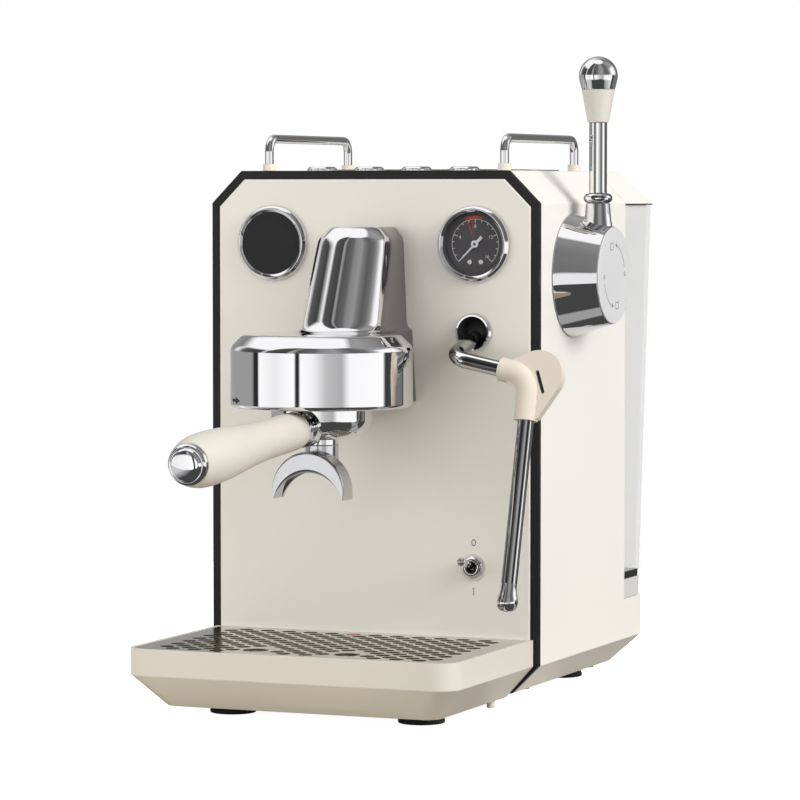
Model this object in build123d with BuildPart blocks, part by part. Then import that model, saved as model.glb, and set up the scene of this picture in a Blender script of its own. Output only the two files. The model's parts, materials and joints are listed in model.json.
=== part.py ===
from build123d import *
import math
import os

# Home espresso machine with a lever valve, in millimetres, +Z up, user standing on the -Y side.
# Heights are measured from the counter, depths backwards from the front trim, widths from the middle.

# Casing
CASE_WIDTH = 250.0
CASE_TOP = 374.0
FOOT_HEIGHT = 8.5
TOP_CHAMFER = 23.0
BASE_CHAMFER = 20.0
UPPER_DEPTH = 182.0
LEDGE_STEP = 47.0
LEDGE_TOP = 58.0
SHEET = 1.5
TRIM_BAND = 6.0
TRIM_DEPTH = 4.5
TRIM_LIP = 5.0
PANEL_THICKNESS = 3.0
PANEL_PROUD = 1.0
PANEL_EDGE = 0.6
FLANGE_WIDTH = 10.0
LEDGE_CORNER = 12.0
LEDGE_FOOT_CORNER = 5.5

# Clearances
SEAT_GAP = 0.15
SLIDE_GAP = 0.3
RUN_GAP = 0.05
TRAVEL_GAP = 0.6

# Chassis and feet
CHASSIS_PLATE = 2.0
CHASSIS_MARGIN = 2.0
TONGUE_EDGE = 14.5
TONGUE_SETBACK = 25.0
FOOT_INSET = 46.5
FOOT_DIAMETER = 32.0
FOOT_TOP_DIAMETER = 25.0
FOOT_SKIRT = 2.0
FOOT_STEM = 6.0
LEFT_FOOT_SHIFT = 16.5
FRONT_FOOT_SETBACK = 51.0
REAR_FOOT_SETBACK = 57.0
SCREW_DIAMETER = 4.0
SCREW_HEAD = 7.5
SCREW_HEAD_HEIGHT = 1.2
SCREW_RISE = 3.0
SCREW_ROWS = 3

# Drip tray
TRAY_INSET = 3.3
TRAY_DEPTH = 152.5
TRAY_TOP = 47.0
TRAY_LOW = 6.0
TRAY_FLARE = 20.2
TRAY_CHAMFER = 22.5
TRAY_CORNER = 16.0
TRAY_FOOT_CORNER = 11.0
TRAY_WALL = 2.5
TRAY_LEDGE = 3.0
TRAY_FLOOR = 2.0
CAVITY_CHAMFER = 14.0
CAVITY_FOOT_CORNER = 8.0
GRID_THICKNESS = 1.5
GRID_DROP = 0.3
GRID_PITCH_X = 16.6
GRID_PITCH_Y = 17.3
GRID_HOLE = 10.0
GRID_MARGIN = 7.0
FINGER_HOLE = 17.7
FINGER_SPACING = 68.0
FINGER_SETBACK = 27.0
GRID_WEB = 1.6
NOTCH_WIDTH = 96.0
NOTCH_DEPTH = 3.0
FLOAT_DIAMETER = 16.0
FLOAT_HEIGHT = 7.0
FLOAT_STEM = 8.0
FLOAT_PIN = 3.0
FLOAT_PIN_HEIGHT = 14.0
PLUG_DIAMETER = 5.8
PLUG_CLEAR = 1.5
PLUG_LENGTH = 5.0
PLUG_SETBACK = 21.0

# Water tank
TANK_WALL = 2.5
TANK_SETBACK = 11.7
TANK_LEAN = 0.0893
TANK_CORNER = 2.5
TANK_INNER_CORNER = 2.0
TANK_SIDE_INSET = 0.5
TANK_FOOT = 14.0
TANK_BAND = 5.5
TANK_BAND_INSET = 0.8
LID_OVERHANG = 0.4
LID_SLOPE = 15.0
LID_WALL = 2.2
LID_RIM = 2.0
LID_SKIRT = 8.0
VALVE_DIAMETER = 16.0
VALVE_DEPTH = 9.5
VALVE_TOP = 3.0
OUTLET_PORT = 5.0
COUPLING_FLANGE = 30.0
COUPLING_BODY = 22.0
COUPLING_DEPTH = 12.5
COUPLING_PLATE = 2.0
COUPLING_NIPPLE = 9.0
NIPPLE_LENGTH = 4.0
TANK_VALVE_SETBACK = 17.0
TANK_VALVE_INSET = 60.0

# Top of the casing
SHELF_MARGIN = 54.0
SHELF_FRONT = 62.0
SHELF_REAR_MARGIN = 10.0
SHELF_LIP = 5.0
SHELF_PLATE = 1.2
SHELF_RIM = 6.0
VENT_LENGTH = 26.0
VENT_WIDTH = 4.0
VENT_PITCH_X = 34.0
VENT_PITCH_Y = 12.0
VENT_COLUMNS = 4
VENT_ROWS = 7
RAIL_INSET = 34.5
RAIL_FRONT = 23.0
RAIL_REAR_MARGIN = 16.0
RAIL_HEIGHT = 23.0
RAIL_ROD = 6.4
RAIL_BEND = 9.0
FERRULE_DIAMETER = 9.4
FERRULE_HEIGHT = 5.0
RAIL_TAIL = 6.0
BUTTON_COUNT = 4
BUTTON_PITCH = 36.7
BUTTON_Y = 36.6
RING_DIAMETER = 21.5
RING_HEIGHT = 3.0
RING_NECK = 18.0
RING_NECK_DEPTH = 6.0
BUTTON_DIAMETER = 16.0
BUTTON_PROUD = 2.4
BUTTON_COLLAR = 17.6
BUTTON_COLLAR_HEIGHT = 2.0
BUTTON_STEM = 5.0
BUTTON_STEM_LENGTH = 5.0
BUTTON_TRAVEL = 1.5
BOARD_THICKNESS = 1.6
KEY_SIZE = 7.0
KEY_HEIGHT = 6.0
BOARD_DEPTH = 28.0
BOARD_OVERHANG = 18.0
STANDOFF = 6.0

# Gauges
GAUGE_INSET = 48.0
GAUGE_DROP = 51.4
BEZEL_DIAMETER = 54.0
BEZEL_OPENING = 44.0
BEZEL_PROUD = 5.0
CAN_DIAMETER = 49.2
CAN_DEPTH = 34.0
CAN_PROUD = 2.0
DIAL_DIAMETER = 45.2
DIAL_DEPTH = 4.5
LENS = 1.2
NEEDLE_LENGTH = 16.5
NEEDLE_TAIL = 7.0
NEEDLE_WIDTH = 2.2
NEEDLE_PLATE = 0.6
NEEDLE_HUB = 5.2
NEEDLE_HUB_HEIGHT = 1.6
NEEDLE_PIN = 2.0
NEEDLE_ZERO = 225.0

# Power switch
SWITCH_RISE = 88.0
WASHER_DIAMETER = 19.5
WASHER_THICKNESS = 1.0
SWITCH_NUT_FLATS = 14.0
SWITCH_NUT_HEIGHT = 2.5
BUSH_DIAMETER = 11.8
BUSH_PROUD = 2.0
SWITCH_BORE = 6.6
SWITCH_BODY_WIDTH = 16.0
SWITCH_BODY_HEIGHT = 28.0
SWITCH_BODY_DEPTH = 24.0
BAT_LENGTH = 22.0
BAT_ROOT = 3.4
BAT_TIP = 6.8
BAT_BALL = 6.4
BAT_ANGLE = 15.0

# Brew group
GROUP_DROP = 162.0
GROUP_REACH = 90.0
BELL_RADIUS = 62.5
BELL_HEIGHT = 50.0
BELL_SHOULDER = 9.0
BELL_WALL = 2.5
HEAD_RADIUS = 46.0
HEAD_HEIGHT = 22.0
HEAD_BOSS = 24.0
NECK_DIAMETER = 28.0
RING_FLOOR = 1.5
RING_LEDGE = 3.5
RING_CAVITY = 7.0
RING_TOP = 4.0
RING_CAVITY_RADIUS = 41.0
UNLOCK_ANGLE = 50.0
LUG_WIDTH = 22.0
LUG_REACH = 4.5
TOWER_HEIGHT = 64.0
TOWER_CAP = 9.0
TOWER_HALF_LOW = 30.4
TOWER_HALF_HIGH = 27.2
TOWER_HALF_FOOT = 33.3
TOWER_NOSE_LOW = 51.5
TOWER_NOSE_HIGH = 27.0
TOWER_WALL = 2.5
TOWER_BLOCK = 70.0
TOWER_FLARE = 5.0
TOWER_FLARE_RISE = 6.0

# Portafilter
BOWL_RADIUS = 35.0
BOWL_WALL = 4.6
BOWL_DEPTH = 32.0
BOWL_FLOOR = 7.0
BOWL_EDGE = 14.0
BASKET_WALL = 1.0
BASKET_DEPTH = 23.0
BASKET_LIP = 3.8
GASKET_INNER = 28.5
SCREEN_RADIUS = 27.5
SCREEN_PLATE = 1.5
SCREEN_HEIGHT = 3.0
OUTLET_DIAMETER = 23.0
OUTLET_HEIGHT = 4.0
OUTLET_BORE = 7.0
SPOUT_RADIUS = 26.5
SPOUT_DROP = 8.0
SPOUT_DEPTH = 18.0
SPOUT_FORWARD = 16.0
SPOUT_TIP_DROP = 7.0
SPOUT_ARCH = 19.0
SPOUT_LIP = 3.0
SPOUT_CHANNEL = 4.0
HANDLE_DROOP = 4.2
HANDLE_START = 40.0
HANDLE_END = 211.6
HANDLE_ROOT_RADIUS = 13.0
HANDLE_WAIST_RADIUS = 13.0
HANDLE_SWELL_RADIUS = 17.8
HANDLE_TIP_RADIUS = 14.0
HANDLE_WAIST = 50.0
HANDLE_SWELL = 145.0
CAP_LENGTH = 7.5
CAP_FULLNESS = 0.55
STUB_RADIUS = 10.5
TANG_RADIUS = 5.0
TANG_LENGTH = 30.0
HANDLE_RISE = 11.0

# Steam wand
STEAM_DROP = 113.0
PORT_RING = 27.0
PORT_OPENING = 22.4
PORT_PROUD = 3.5
BALL_DIAMETER = 22.0
BALL_DEPTH = 13.0
HOUSING_DIAMETER = 25.0
HOUSING_DEPTH = 30.0
PORT_THROAT = 18.4
BALL_LIP = 6.0
WATERWAY = 4.0
PIPE_DIAMETER = 11.0
PIPE_WALL = 1.5
PIPE_START = 23.0
STUB_OVERLAP = 8.0
ARM_FORWARD = 44.0
ARM_FALL = 15.7
ELBOW_REACH = 59.0
ELBOW_FORWARD = 46.0
ELBOW_FALL = 27.5
WAND_REACH = 55.5
WAND_FORWARD = 77.0
WAND_FALL = 167.0
ARM_BEND = 14.0
ELBOW_BEND = 15.0
SLEEVE_DIAMETER = 16.5
SLEEVE_ARM = 22.0
SLEEVE_DROP = 31.0
PADDLE_RADIUS = 17.6
PADDLE_OFFSET = 6.5
PADDLE_WEB_REACH = 11.0
PADDLE_WEB_RISE = 2.0
PADDLE_THICKNESS = 7.0
PADDLE_TAIL = 30.0
SLIT_WIDTH = 2.6
SLIT_LENGTH = 17.0
SLIT_OFFSET = 8.6
SLIT_DROP = 4.5
SLIT_ANGLE = 110.0
TIP_DIAMETER = 14.5
TIP_LENGTH = 19.0
TIP_BORE = 3.0

# Valve lever
LEVER_Y = 69.2
LEVER_DROP = 74.0
DRUM_BASE_RADIUS = 44.0
DRUM_FACE_RADIUS = 34.5
DRUM_DEPTH = 29.5
DRUM_GAP = 0.6
DRUM_WALL = 3.0
DRUM_HUB = 20.0
FACE_PLATE = 1.0
FACE_INSET = 0.4
STEM_DIAMETER = 12.0
STEM_LENGTH = 14.0
ROD_OUT = 18.6
ROD_DIAMETER = 12.6
NECK_COLLAR = 17.0
NECK_TOP = 51.0
BEAD_DIAMETER = 20.4
BEAD_HEIGHT = 7.0
ROD_TOP = 108.0
ROD_STUD = 8.0
STUD_RISE = 28.0
CONE_BASE = 15.0
CONE_TOP = 23.4
CONE_HEIGHT = 23.0
KNOB_DIAMETER = 27.6
KNOB_HEIGHT = 23.5
VALVE_BODY = 30.0
VALVE_BODY_LENGTH = 43.0
VALVE_BOSS = 12.0
VALVE_BOSS_HEIGHT = 5.0

# Inside
BOILER_RADIUS = 45.0
BOILER_FRONT = 47.0
BOILER_REAR_GAP = 35.0
BOILER_EDGE = 8.0
INLET_INSET = 65.0
INLET_HEIGHT = 43.0
INLET_WIDTH = 27.0
INLET_TALL = 20.0
INLET_FLANGE = 2.0
INLET_DEPTH = 26.0
INLET_WALL = 1.6
INLET_RECESS = 20.0
BLADE_LENGTH = 13.0
BLADE_WIDTH = 2.0
BLADE_TALL = 4.0
BLADE_PITCH = 7.0

# Places that follow from the sizes above
HALF_WIDTH = CASE_WIDTH / 2
TRAY_HALF = HALF_WIDTH - TRAY_INSET
LEDGE_DEPTH = UPPER_DEPTH + LEDGE_STEP
BASE = FOOT_HEIGHT
PANEL_FRONT = -PANEL_PROUD
PANEL_BACK = PANEL_THICKNESS - PANEL_PROUD
CHASSIS_LOW = BASE + SHEET
CHASSIS_TOP = CHASSIS_LOW + CHASSIS_PLATE
FOOT_X = HALF_WIDTH - FOOT_INSET
FRONT_FOOT_Y = -TRAY_DEPTH + FRONT_FOOT_SETBACK
REAR_FOOT_Y = LEDGE_DEPTH - REAR_FOOT_SETBACK
TONGUE_HALF = FOOT_X + TONGUE_EDGE
PLUG_X = TONGUE_HALF + SLIDE_GAP + PLUG_CLEAR + PLUG_DIAMETER / 2
GAUGE_X = HALF_WIDTH - GAUGE_INSET
GAUGE_Z = CASE_TOP - GAUGE_DROP
STEAM_Z = CASE_TOP - STEAM_DROP
SWITCH_Z = BASE + SWITCH_RISE
BELL_LOW = CASE_TOP - GROUP_DROP
BELL_TOP = BELL_LOW + BELL_HEIGHT
LEVER_Z = CASE_TOP - LEVER_DROP
LEVER_BASE = HALF_WIDTH + DRUM_GAP
RING_LOW = BELL_LOW + RING_FLOOR
CAVITY_LOW = RING_LOW + RING_LEDGE
CAVITY_TOP = CAVITY_LOW + RING_CAVITY
HEAD_LOW = CAVITY_TOP + RING_TOP
BOWL_TOP = CAVITY_TOP - BASKET_WALL - SLIDE_GAP * 2
BOWL_LOW = BOWL_TOP - BOWL_DEPTH
OUTLET_LOW = BOWL_LOW - OUTLET_HEIGHT
SPOUT_Z = OUTLET_LOW - SPOUT_DROP - SPOUT_RADIUS + OUTLET_HEIGHT
BOILER_Z = HEAD_LOW + NECK_DIAMETER / 2
BOILER_REAR = UPPER_DEPTH - BOILER_REAR_GAP
VALVE_X = -(HALF_WIDTH - TANK_VALVE_INSET)
TANK_VALVE_Y = UPPER_DEPTH + TANK_VALVE_SETBACK
TANK_LOW = LEDGE_TOP + SLIDE_GAP
TANK_FRONT = UPPER_DEPTH + TRAVEL_GAP
TANK_TOP = CASE_TOP - TOP_CHAMFER - LID_RIM
TANK_REAR_LOW = LEDGE_DEPTH - TANK_SETBACK
TANK_REAR_HIGH = TANK_REAR_LOW + (TANK_TOP - TANK_LOW) * TANK_LEAN
LID_REAR = TANK_REAR_HIGH + LID_OVERHANG
INLET_X = HALF_WIDTH - INLET_INSET
HANDLE_Z = BOWL_LOW + HANDLE_RISE
ELBOW_X = GAUGE_X + ELBOW_REACH
HANDLE_REACH = (HANDLE_END + CAP_LENGTH) * math.cos(math.radians(HANDLE_DROOP))

# The frame's origin is on the counter, under the middle of the machine's whole reach.
RIGHT_REACH = ELBOW_X + PADDLE_OFFSET + PADDLE_RADIUS
FRONT_REACH = GROUP_REACH + HANDLE_REACH
MID_X = (HALF_WIDTH - RIGHT_REACH) / 2
FRONT_Y = (FRONT_REACH - LID_REAR) / 2
CORNER = (MID_X, FRONT_Y, 0)
FLOOR = Plane(CORNER)
FRONT = Plane(CORNER, x_dir=(1, 0, 0), z_dir=(0, -1, 0))
SIDE = Plane(CORNER, x_dir=(0, 1, 0), z_dir=(1, 0, 0))
UPRIGHT = (Align.CENTER, Align.CENTER, Align.MIN)


def floor_at(height):
    """Level plane at a height above the counter, seen from above."""
    return FLOOR.offset(height)


def front_at(depth):
    """Upright plane at a depth behind the trim, seen and extruded towards the user."""
    return FRONT.offset(-depth)


def side_at(across):
    """Upright plane across the machine, seen and extruded towards the right."""
    return SIDE.offset(across)


def spot(across, depth, height):
    """Point of the machine in the model's frame."""
    return Vector(MID_X + across, FRONT_Y + depth, height)


def lathe_plane(origin, axis):
    """Plane whose local Y runs along a turning axis and whose local X is a radius."""
    along = Vector(*axis).normalized()
    helper = Vector(1, 0, 0) if abs(along.X) < 0.9 else Vector(0, 1, 0)
    radius = (helper - along * helper.dot(along)).normalized()
    return Plane(origin, x_dir=radius, z_dir=radius.cross(along))


def turned(plane, *points, mode=Mode.ADD):
    """Revolve a closed profile of (radius, along) points about the plane's local Y axis."""
    with BuildSketch(plane) as profile:
        with BuildLine():
            Polyline(*points, close=True)
        make_face()
    revolve(profile.sketch, axis=Axis(plane.origin, plane.y_dir), mode=mode)


def octagon(inset, mode=Mode.ADD):
    """Casing section, drawn inwards by an inset."""
    half = HALF_WIDTH - inset
    low = BASE + inset
    high = CASE_TOP - inset
    trim = inset * (2 - math.sqrt(2))
    upper = TOP_CHAMFER - trim
    lower = BASE_CHAMFER - trim
    with BuildLine() as outline:
        Polyline(
            (-half + lower, low),
            (half - lower, low),
            (half, low + lower),
            (half, high - upper),
            (half - upper, high),
            (-half + upper, high),
            (-half, high - upper),
            (-half, low + lower),
            close=True,
        )
    make_face(outline.edges(), mode=mode)


def rounded_plan(half, seat, end, corner):
    """Plan with a square edge at the seat and two round corners at the far end."""
    with BuildLine() as outline:
        rim = FilletPolyline((-half, seat), (-half, end), (half, end), (half, seat), radius=corner)
        Line(rim @ 1, rim @ 0)
    make_face(outline.edges())


def tub(half, seat, end, flare, rise, low, top, corner, foot_corner):
    """Solid with upright walls and a chamfered foot on three sides."""
    toward_seat = flare if end < seat else -flare
    with BuildPart() as solid:
        with BuildSketch(floor_at(low)):
            rounded_plan(half - flare, seat, end + toward_seat, foot_corner)
        with BuildSketch(floor_at(low + rise)) as rim:
            rounded_plan(half, seat, end, corner)
        loft(ruled=True)
        extrude(rim.sketch, amount=top - low - rise)
    return solid.part


def tank_rear(height):
    """Depth of the tank's leaning rear face at a height."""
    return TANK_REAR_LOW + (height - TANK_LOW) * TANK_LEAN


def tank_block(low, high, inset, corner):
    """Block with the tank's outline, drawn inwards by an inset on its four sides."""
    half = HALF_WIDTH - TANK_SIDE_INSET - inset
    with BuildPart() as solid:
        with BuildSketch(side_at(-half)):
            with BuildLine():
                Polyline(
                    (TANK_FRONT + inset, low),
                    (tank_rear(low) - inset, low),
                    (tank_rear(high) - inset, high),
                    (TANK_FRONT + inset, high),
                    close=True,
                )
            make_face()
        extrude(amount=2 * half)
        uprights = solid.faces().sort_by(Axis.Y)[-1].edges().filter_by(Axis.X, reverse=True)
        fillet(uprights, radius=corner)
    return solid.part


def tube(path, diameter, bore):
    """Hollow tube along a path of straight runs and arcs."""
    with BuildSketch(Plane(path @ 0, z_dir=path % 0)) as section:
        Circle(diameter / 2)
        Circle(bore / 2, mode=Mode.SUBTRACT)
    sweep(section.sketch, path=path)


def tower_section(height, half, nose, inset=0.0, back=PANEL_FRONT):
    """U-shaped section of the group tower, open to the panel side."""
    reach = half - inset
    with BuildSketch(floor_at(height)) as section:
        with BuildLine():
            nose_arc = ThreePointArc((-reach, -nose), (0, -nose - reach), (reach, -nose))
            Polyline(nose_arc @ 1, (reach, back), (-reach, back), nose_arc @ 0)
        make_face()
    return section.sketch


def bell_outline(grow):
    """Outer profile of the bell as (radius, height) points."""
    outer = BELL_RADIUS + grow
    return (
        (0, BELL_LOW - grow),
        (outer, BELL_LOW - grow),
        (outer, BELL_TOP - BELL_SHOULDER),
        (outer - BELL_SHOULDER, BELL_TOP),
        (0, BELL_TOP),
    )


# Shared shapes and places
FOOT_SPOTS = [
    (LEFT_FOOT_SHIFT - FOOT_X, FRONT_FOOT_Y, 0),
    (FOOT_X, FRONT_FOOT_Y, 0),
    (-FOOT_X, REAR_FOOT_Y, 0),
    (FOOT_X, REAR_FOOT_Y, 0),
]
BUTTON_SPOTS = [((i - (BUTTON_COUNT - 1) / 2) * BUTTON_PITCH, BUTTON_Y) for i in range(BUTTON_COUNT)]
RAIL_X = HALF_WIDTH - RAIL_INSET
RAIL_REAR = UPPER_DEPTH - RAIL_REAR_MARGIN
RAIL_SPOTS = [(side * RAIL_X, depth) for side in (-1, 1) for depth in (RAIL_FRONT, RAIL_REAR)]
SHELF_HALF = HALF_WIDTH - SHELF_MARGIN
SHELF_REAR = UPPER_DEPTH - SHELF_REAR_MARGIN
SHELF_LENGTH = SHELF_REAR - SHELF_FRONT
SHELF_MIDDLE = (SHELF_REAR + SHELF_FRONT) / 2
CHASSIS_HALF = HALF_WIDTH - BASE_CHAMFER - CHASSIS_MARGIN
CHASSIS_REAR = LEDGE_DEPTH - BASE_CHAMFER - CHASSIS_MARGIN
TONGUE_FRONT = -TRAY_DEPTH + TONGUE_SETBACK
OPENING_HALF = HALF_WIDTH - BASE_CHAMFER - FLANGE_WIDTH
OPENING_REAR = LEDGE_DEPTH - BASE_CHAMFER - FLANGE_WIDTH
SCREW_X = OPENING_HALF + FLANGE_WIDTH / 2
SCREW_MIDDLE = (TRIM_DEPTH + CHASSIS_REAR) / 2
SCREW_SPACING = (CHASSIS_REAR - TRIM_DEPTH) / SCREW_ROWS
GROUP_AXIS = lathe_plane(spot(0, -GROUP_REACH, 0), (0, 0, 1))
STEAM_PORT = spot(GAUGE_X, 0, STEAM_Z)
STEAM_BALL = spot(GAUGE_X, BALL_DEPTH, STEAM_Z)
INLET_MID = (INLET_X, INLET_HEIGHT)
BAR_Z = CASE_TOP + RAIL_HEIGHT
SHEET_UNDER = CASE_TOP - SHEET

# Black trim frame round the front
with BuildPart() as trim_frame:
    with BuildSketch(front_at(TRIM_DEPTH)):
        octagon(0)
        octagon(TRIM_BAND, mode=Mode.SUBTRACT)
    extrude(amount=TRIM_DEPTH)
    with BuildSketch(front_at(TRIM_DEPTH)):
        octagon(TRIM_BAND)
        octagon(TRIM_BAND + TRIM_LIP, mode=Mode.SUBTRACT)
    extrude(amount=TRIM_DEPTH - PANEL_BACK)
    with BuildSketch(floor_at(BASE)):
        Rectangle(2 * (TONGUE_HALF + SLIDE_GAP), 4 * TRIM_DEPTH)
    extrude(amount=CHASSIS_TOP + SLIDE_GAP - BASE, mode=Mode.SUBTRACT)
trim_frame.part.label = "trim_frame"

# Cream front panel with the openings for what passes through it
with BuildPart() as front_panel:
    with BuildSketch(front_at(PANEL_BACK)):
        octagon(TRIM_BAND + SEAT_GAP)
        with Locations((-GAUGE_X, GAUGE_Z), (GAUGE_X, GAUGE_Z)):
            Circle(CAN_DIAMETER / 2 + SLIDE_GAP, mode=Mode.SUBTRACT)
        with Locations((GAUGE_X, STEAM_Z)):
            Circle(HOUSING_DIAMETER / 2 + SEAT_GAP, mode=Mode.SUBTRACT)
        with Locations((GAUGE_X, SWITCH_Z)):
            Circle(BUSH_DIAMETER / 2 + SEAT_GAP, mode=Mode.SUBTRACT)
        with Locations((0, BOILER_Z)):
            Circle(NECK_DIAMETER / 2 + SLIDE_GAP, mode=Mode.SUBTRACT)
    extrude(amount=PANEL_THICKNESS)
    chamfer(front_panel.faces().sort_by(Axis.Y)[0].outer_wire().edges(), length=PANEL_EDGE)
front_panel.part.label = "front_panel"

# Folded body shell with the rear ledge that carries the tank
INNER_CHAMFER = BASE_CHAMFER - SHEET * (2 - math.sqrt(2))
ledge_outside = tub(
    HALF_WIDTH,
    UPPER_DEPTH - BASE_CHAMFER,
    LEDGE_DEPTH,
    BASE_CHAMFER,
    BASE_CHAMFER,
    BASE,
    LEDGE_TOP,
    LEDGE_CORNER,
    LEDGE_FOOT_CORNER,
)
ledge_inside = tub(
    HALF_WIDTH - SHEET,
    UPPER_DEPTH - BASE_CHAMFER,
    LEDGE_DEPTH - SHEET,
    INNER_CHAMFER,
    INNER_CHAMFER,
    BASE + SHEET,
    LEDGE_TOP - SHEET,
    LEDGE_CORNER - SHEET,
    LEDGE_FOOT_CORNER - SHEET,
)
with BuildPart() as body_shell:
    with BuildSketch(front_at(UPPER_DEPTH)):
        octagon(0)
    extrude(amount=UPPER_DEPTH - TRIM_DEPTH)
    add(ledge_outside)
    with BuildSketch(front_at(UPPER_DEPTH)):
        octagon(SHEET)
    extrude(amount=UPPER_DEPTH - TRIM_DEPTH, mode=Mode.SUBTRACT)
    add(ledge_inside, mode=Mode.SUBTRACT)
    with BuildSketch(floor_at(BASE)):
        with Locations((0, (TRIM_DEPTH + OPENING_REAR) / 2)):
            Rectangle(2 * OPENING_HALF, OPENING_REAR - TRIM_DEPTH)
        with Locations((0, SCREW_MIDDLE)):
            with GridLocations(2 * SCREW_X, SCREW_SPACING, 2, SCREW_ROWS):
                Circle(SCREW_DIAMETER / 2 + SEAT_GAP)
    extrude(amount=SHEET, mode=Mode.SUBTRACT)
    with BuildSketch(floor_at(SHEET_UNDER)):
        with Locations((0, SHELF_MIDDLE)):
            Rectangle(2 * SHELF_HALF, SHELF_LENGTH)
        with Locations(*BUTTON_SPOTS):
            Circle(RING_NECK / 2 + SEAT_GAP)
        with Locations(*RAIL_SPOTS):
            Circle(RAIL_ROD / 2 + SEAT_GAP)
    extrude(amount=SHEET, mode=Mode.SUBTRACT)
    with BuildSketch(side_at(HALF_WIDTH - SHEET)):
        with Locations((LEVER_Y, LEVER_Z)):
            Circle(STEM_DIAMETER / 2 + SLIDE_GAP)
    extrude(amount=SHEET, mode=Mode.SUBTRACT)
    with BuildSketch(floor_at(LEDGE_TOP - SHEET)):
        with Locations((VALVE_X, TANK_VALVE_Y)):
            Circle(VALVE_DIAMETER / 2 + SLIDE_GAP)
    extrude(amount=SHEET, mode=Mode.SUBTRACT)
    with BuildSketch(front_at(LEDGE_DEPTH)):
        with Locations(INLET_MID):
            Rectangle(INLET_WIDTH + 2 * SEAT_GAP, INLET_TALL + 2 * SEAT_GAP)
    extrude(amount=SHEET, mode=Mode.SUBTRACT)
body_shell.part.label = "body_shell"

# Rear panel behind the tank
with BuildPart() as rear_panel:
    with BuildSketch(front_at(UPPER_DEPTH)):
        octagon(SHEET + SEAT_GAP)
        with Locations((0, LEDGE_TOP + SEAT_GAP)):
            Rectangle(
                CASE_WIDTH,
                CASE_TOP,
                align=(Align.CENTER, Align.MAX),
                mode=Mode.SUBTRACT,
            )
    extrude(amount=SHEET)
rear_panel.part.label = "rear_panel"

# Chassis plate with the tongue under the tray
with BuildPart() as chassis:
    with BuildSketch(floor_at(CHASSIS_LOW)):
        with Locations((0, (TRIM_DEPTH + CHASSIS_REAR) / 2)):
            Rectangle(2 * CHASSIS_HALF, CHASSIS_REAR - TRIM_DEPTH)
        with Locations((0, (TONGUE_FRONT + TRIM_DEPTH) / 2)):
            Rectangle(2 * TONGUE_HALF, TRIM_DEPTH - TONGUE_FRONT)
        with Locations(*[(x, y) for x, y, _ in FOOT_SPOTS]):
            Circle(FOOT_STEM / 2, mode=Mode.SUBTRACT)
        with Locations((0, SCREW_MIDDLE)):
            with GridLocations(2 * SCREW_X, SCREW_SPACING, 2, SCREW_ROWS):
                Circle(SCREW_DIAMETER / 2 + SEAT_GAP, mode=Mode.SUBTRACT)
    extrude(amount=CHASSIS_PLATE)
chassis.part.label = "chassis"

# Screws that hold the chassis to the shell's bottom flange
with BuildPart(FLOOR) as chassis_screws:
    with Locations((0, SCREW_MIDDLE, BASE - SCREW_HEAD_HEIGHT)):
        with GridLocations(2 * SCREW_X, SCREW_SPACING, 2, SCREW_ROWS):
            Cylinder(SCREW_HEAD / 2, SCREW_HEAD_HEIGHT, align=UPRIGHT)
            Cylinder(
                SCREW_DIAMETER / 2,
                SCREW_HEAD_HEIGHT + SHEET + CHASSIS_PLATE + SCREW_RISE,
                align=UPRIGHT,
            )
chassis_screws.part.label = "chassis_screws"

# Four flared rubber feet with push-in stems
with BuildPart(FLOOR) as rubber_feet:
    with Locations(*FOOT_SPOTS):
        Cylinder(FOOT_DIAMETER / 2, FOOT_SKIRT, align=UPRIGHT)
    with Locations(*[(x, y, FOOT_SKIRT) for x, y, _ in FOOT_SPOTS]):
        Cone(FOOT_DIAMETER / 2, FOOT_TOP_DIAMETER / 2, CHASSIS_LOW - FOOT_SKIRT, align=UPRIGHT)
    with Locations(*[(x, y, CHASSIS_LOW) for x, y, _ in FOOT_SPOTS]):
        Cylinder(FOOT_STEM / 2 - RUN_GAP, CHASSIS_PLATE, align=UPRIGHT)
rubber_feet.part.label = "rubber_feet"

# Drip tray: slides forward over the chassis tongue
TRAY_SEAT = PANEL_FRONT - SLIDE_GAP
CAVITY_FLOOR = CHASSIS_TOP + SLIDE_GAP + TRAY_FLOOR
CAVITY_INSET = TRAY_WALL + TRAY_LEDGE
GRID_TOP = TRAY_TOP - GRID_DROP
GRID_LOW = GRID_TOP - GRID_THICKNESS
FLOAT_SPOT = (-GRID_PITCH_X / 2, TRAY_SEAT - TRAY_WALL - GRID_MARGIN - GRID_HOLE / 2)
GRID_CORNER = TRAY_CORNER - TRAY_WALL
tray_outside = tub(
    TRAY_HALF,
    TRAY_SEAT,
    -TRAY_DEPTH,
    TRAY_FLARE,
    TRAY_CHAMFER,
    TRAY_LOW,
    TRAY_TOP,
    TRAY_CORNER,
    TRAY_FOOT_CORNER,
)
tray_cavity = tub(
    TRAY_HALF - CAVITY_INSET,
    TRAY_SEAT - CAVITY_INSET,
    -TRAY_DEPTH + CAVITY_INSET,
    CAVITY_CHAMFER,
    CAVITY_CHAMFER,
    CAVITY_FLOOR,
    TRAY_TOP,
    TRAY_CORNER - CAVITY_INSET,
    CAVITY_FOOT_CORNER,
)
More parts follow.
